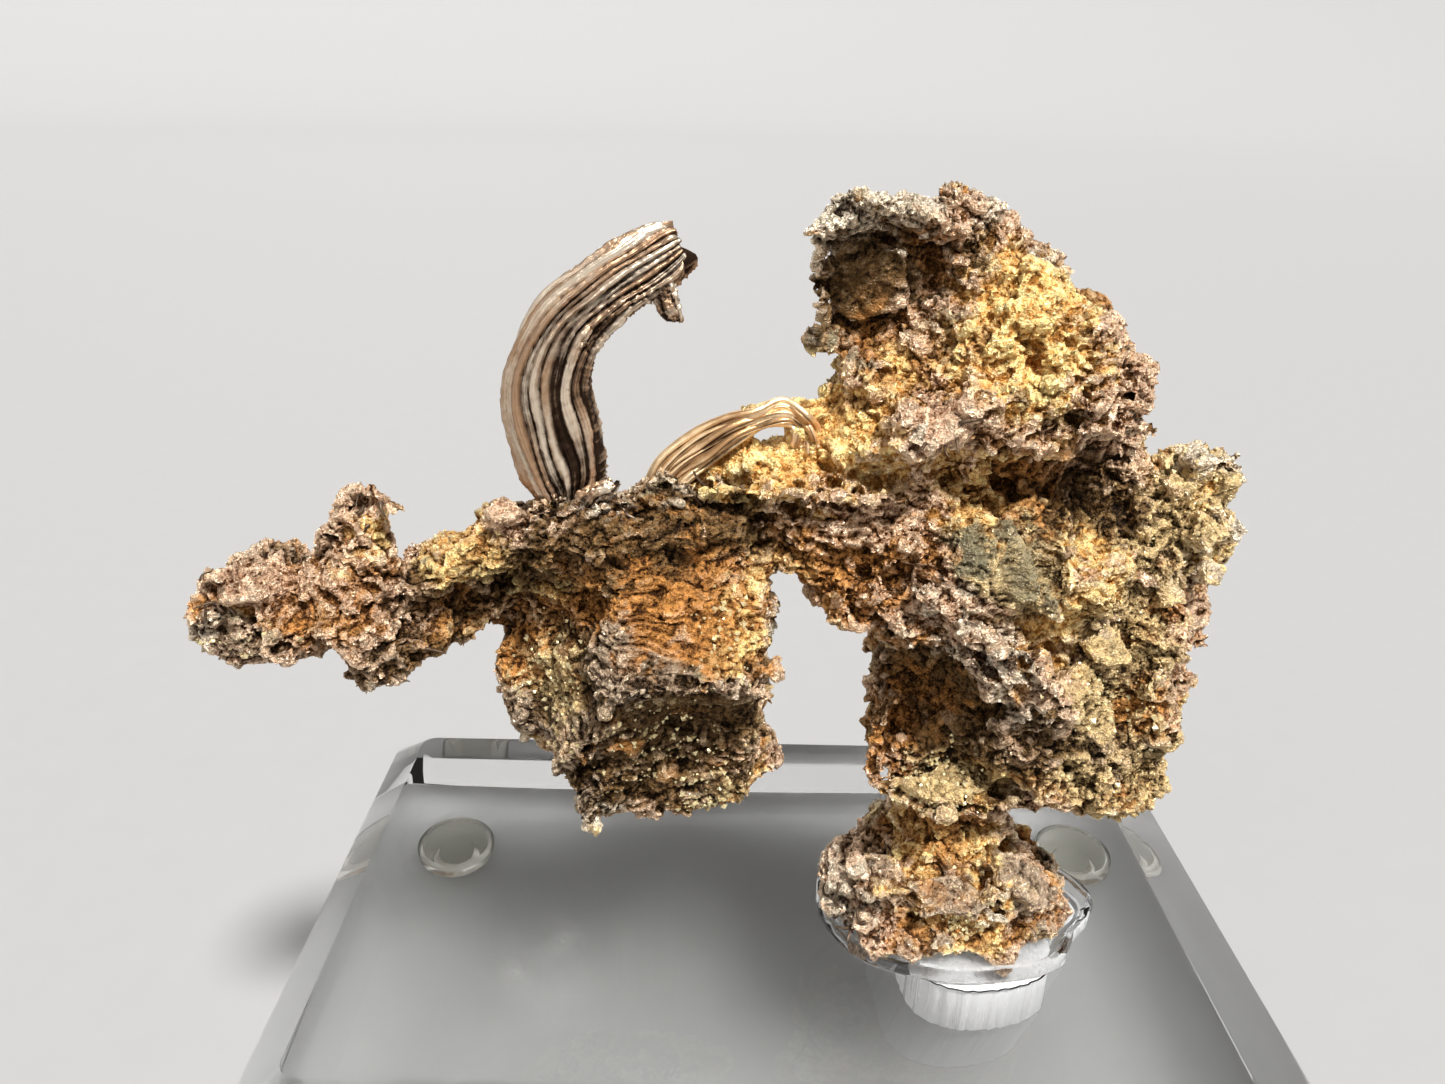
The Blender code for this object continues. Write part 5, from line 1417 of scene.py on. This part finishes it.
class SPECIMEN_OT_stand(bpy.types.Operator):
    """Model the acrylic block, the carved riser and the bumpers"""
    bl_idname = "specimen.stand"
    bl_label = "Acrylic stand"

    def block(self, settings):
        low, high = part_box("acrylic_base")
        low, high = Vector(low), Vector(high)
        shoulder = high.z - settings.bevel_drop
        size = high - low
        size.z = shoulder - low.z
        centre = (low + high) / 2
        centre.z = (low.z + shoulder) / 2
        deselect()
        bpy.ops.mesh.primitive_cube_add(size=1.0, location=centre, scale=size)
        made = bpy.context.active_object
        made.name = "acrylic_block"
        settle(made)
        edit(made, "DESELECT")
        bm = bmesh.from_edit_mesh(made.data)
        for face in bm.faces:
            face.select = face.normal.z > 0.5
        bpy.ops.mesh.extrude_region_move(
            TRANSFORM_OT_translate={"value": (0, 0, settings.bevel_drop)})
        top_x = (high.x - settings.bevel_right) - (low.x + settings.bevel_left)
        top_y = (high.y - low.y) - 2 * settings.bevel_ends
        bpy.ops.transform.resize(value=(top_x / size.x, top_y / size.y, 1.0),
                                 center_override=(0, 0, high.z))
        shift = (settings.bevel_left - settings.bevel_right) / 2
        bpy.ops.transform.translate(value=(shift, 0, 0))
        bpy.ops.mesh.select_all(action="DESELECT")
        bm = bmesh.from_edit_mesh(made.data)
        for edge in bm.edges:
            rise = abs(edge.verts[0].co.z - edge.verts[1].co.z)
            edge.select = rise > 0.5 * settings.bevel_drop
        bmesh.update_edit_mesh(made.data)
        bpy.ops.mesh.bevel(offset=settings.corner, segments=5, affect="EDGES")
        bpy.ops.object.mode_set(mode="OBJECT")
        modify(made, "BEVEL", width=settings.edge, segments=3, limit_method="ANGLE",
               angle_limit=math.radians(28))
        pick(made)
        bpy.ops.object.shade_smooth_by_angle(angle=math.radians(25))
        return made

    def riser(self):
        low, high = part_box("acrylic_riser")
        degrees = np.linspace(0, 360, 180, endpoint=False)
        turn = np.radians(degrees)
        chatter = 0.05 * np.sin(turn * 46) + 0.03 * np.sin(turn * 71 + 1.0)
        stem = outline_radius(STEM_OUTLINE, degrees) + chatter
        tray = outline_radius(TRAY_OUTLINE, degrees) + 0.6 * chatter
        bottom, top = low[2] / MM, high[2] / MM
        under = top - 2.0
        floor = top - 1.0
        upright = ((stem - 0.15, bottom), (stem, bottom + 0.15), (stem, under - 0.4),
                   (stem + 0.15, under - 0.1), (stem + 0.15, under + 0.05))
        dish = ((stem + 0.3, under), (tray - 0.5, under), (tray - 0.1, under + 0.5),
                (tray, under + 0.7), (tray, top - 0.15), (tray - 0.12, top),
                (tray - 0.5, top), (tray - 0.62, top - 0.1), (tray - 1.6, floor))
        return self.turned("carved_stem", upright, turn), self.turned("carved_tray", dish, turn)

    def turned(self, name, rings, turn):
        """A closed piece from rings of radii and heights round the riser's centre."""
        sides = len(turn)
        points, faces = [], []
        for radius, height in rings:
            points += [mm(RISER_CENTRE[0] + r * math.cos(a), RISER_CENTRE[1] + r * math.sin(a),
                          height) for r, a in zip(radius, turn)]
        for ring in range(len(rings) - 1):
            for i in range(sides):
                j = (i + 1) % sides
                faces.append((ring * sides + i, ring * sides + j, (ring + 1) * sides + j,
                              (ring + 1) * sides + i))
        faces.append(tuple(reversed(range(sides))))
        faces.append(tuple(range((len(rings) - 1) * sides, len(rings) * sides)))
        made = mesh_object(name, points, faces)
        clean(made)
        pick(made)
        bpy.ops.object.shade_smooth_by_angle(angle=math.radians(50))
        return made

    def bumper(self, node):
        """A turned puck: a flat band under the block and a dome down to a small flat."""
        low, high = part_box(node)
        radius = (high[0] - low[0]) / 2
        height = high[2] - low[2]
        centre = Vector(((low[0] + high[0]) / 2, (low[1] + high[1]) / 2, high[2]))
        deselect()
        bpy.ops.mesh.primitive_circle_add(vertices=64, radius=radius, fill_type="NGON",
                                          location=centre)
        made = bpy.context.active_object
        made.name = node + "_clear"
        settle(made)
        edit(made)
        reached = 1.0
        dome = [(1.0, 0.30)] + [(math.cos(a), 0.30 + 0.70 * math.sin(a))
                                for a in np.radians((12, 24, 36, 48, 60))] + [(0.46, 1.0)]
        depth = 0.0
        for share, drop in dome:
            bpy.ops.mesh.extrude_region_move(
                TRANSFORM_OT_translate={"value": (0, 0, (depth - drop) * height)})
            scale = share / reached
            bpy.ops.transform.resize(value=(scale, scale, 1.0),
                                     center_override=(centre.x, centre.y, 0))
            reached, depth = share, drop
        bpy.ops.mesh.select_all(action="SELECT")
        bpy.ops.mesh.normals_make_consistent(inside=False)
        bpy.ops.object.mode_set(mode="OBJECT")
        bpy.ops.object.shade_smooth_by_angle(angle=math.radians(40))
        return made

    def execute(self, context):
        settings = context.scene.specimen_stand
        clear = acrylic_material("clear_acrylic", settings.acrylic_colour, settings.refraction)
        carved = carved_material("carved_acrylic", settings.acrylic_colour, settings.refraction)
        soft = bumper_material("bumper_plastic", settings.bumper_colour, settings.refraction)
        dress(self.block(settings), clear, ["acrylic_base"])
        stem, tray = self.riser()
        dress(stem, carved, ["acrylic_riser"])
        dress(tray, clear, ["acrylic_riser"])
        for end in ("front", "back"):
            for side in ("left", "right"):
                node = f"bumper_{end}_{side}"
                dress(self.bumper(node), soft, [node])
        return {"FINISHED"}


class SPECIMEN_OT_stage(bpy.types.Operator):
    """Set up the pale floor, the soft lights and the camera"""
    bl_idname = "specimen.stage"
    bl_label = "Stage"

    def light(self, name, direction, angle, power):
        deselect()
        bpy.ops.object.light_add(type="SUN", location=-Vector(direction))
        lamp = bpy.context.active_object
        lamp.name = name
        lamp.data.angle = math.radians(angle)
        lamp.data.energy = power
        lamp.data.cycles.use_multiple_importance_sampling = False
        lamp.rotation_euler = Vector(direction).to_track_quat("-Z", "Y").to_euler()

    def floor(self, settings):
        """A round floor that sweeps up all the way round."""
        deselect()
        bpy.ops.mesh.primitive_circle_add(vertices=96, radius=4.2, fill_type="NGON",
                                          location=(0, 0, 1.5))
        made = bpy.context.active_object
        made.name = "floor"
        settle(made)
        edit(made)
        bpy.ops.mesh.inset(thickness=1.2)
        bpy.ops.transform.translate(value=(0, 0, -1.5 - 0.05 * MM))
        bpy.ops.mesh.bevel(offset=0.8, segments=16, affect="EDGES")
        bpy.ops.object.mode_set(mode="OBJECT")
        made.data.shade_smooth()
        made.data.materials.append(floor_material("pale_floor", settings.floor_colour))

    def execute(self, context):
        settings = context.scene.specimen_stage
        self.floor(settings)
        world = bpy.data.worlds.new("soft_sky")
        world.use_nodes = True
        sky = world.node_tree.nodes["Background"]
        sky.inputs["Color"].default_value = (1.0, 0.965, 0.915, 1.0)
        sky.inputs["Strength"].default_value = settings.sky
        context.scene.world = world
        self.light("key_light", (-0.3, 0.5, -1.0), 9, settings.key_power)
        self.light("fill_light", (0.6, 0.8, -0.55), 40, settings.fill_power)
        self.light("back_light", (0.2, -0.8, -0.7), 30, settings.fill_power)
        context.scene.view_settings.view_transform = "Standard"
        self.camera(context, settings)
        return {"FINISHED"}

    def camera(self, context, settings):
        forward = Vector((math.sin(settings.yaw) * math.cos(settings.pitch),
                          math.cos(settings.yaw) * math.cos(settings.pitch),
                          -math.sin(settings.pitch)))
        level = Vector((math.cos(settings.yaw), -math.sin(settings.yaw), 0))
        upward = level.cross(forward)
        right = math.cos(settings.roll) * level + math.sin(settings.roll) * upward
        up = math.cos(settings.roll) * upward - math.sin(settings.roll) * level
        deselect()
        bpy.ops.object.camera_add(location=settings.eye)
        camera = context.active_object
        camera.rotation_euler = Matrix((right, up, -forward)).transposed().to_euler()
        camera.data.sensor_width = 36.0
        camera.data.lens = settings.lens
        camera.data.clip_start = 0.005
        context.scene.camera = camera


class SPECIMEN_PT_panel(bpy.types.Panel):
    bl_label = "Native silver specimen"
    bl_idname = "SPECIMEN_PT_panel"
    bl_space_type = "VIEW_3D"
    bl_region_type = "UI"
    bl_category = "Specimen"

    def draw(self, context):
        for group, operator in PIECES:
            box = self.layout.box()
            settings = getattr(context.scene, group)
            for name in settings.__annotations__:
                box.prop(settings, name)
            box.operator(operator)


PIECES = (("specimen_stage", "specimen.stage"), ("specimen_stand", "specimen.stand"),
          ("specimen_rock", "specimen.rock"), ("specimen_wires", "specimen.wires"))
SETTINGS = {"specimen_stage": StageSettings, "specimen_stand": StandSettings,
            "specimen_rock": RockSettings, "specimen_wires": WireSettings}
CLASSES = (*SETTINGS.values(), SPECIMEN_OT_stage, SPECIMEN_OT_stand, SPECIMEN_OT_rock,
           SPECIMEN_OT_wires, SPECIMEN_PT_panel)


def register():
    for made in CLASSES:
        bpy.utils.register_class(made)
    for name, group in SETTINGS.items():
        setattr(bpy.types.Scene, name, PointerProperty(type=group))


def unregister():
    for name in SETTINGS:
        delattr(bpy.types.Scene, name)
    for made in reversed(CLASSES):
        bpy.utils.unregister_class(made)


def main():
    register()
    bpy.ops.specimen.stage()
    bpy.ops.specimen.stand()
    bpy.ops.specimen.rock()
    bpy.ops.specimen.wires()


if __name__ == "__main__":
    main()
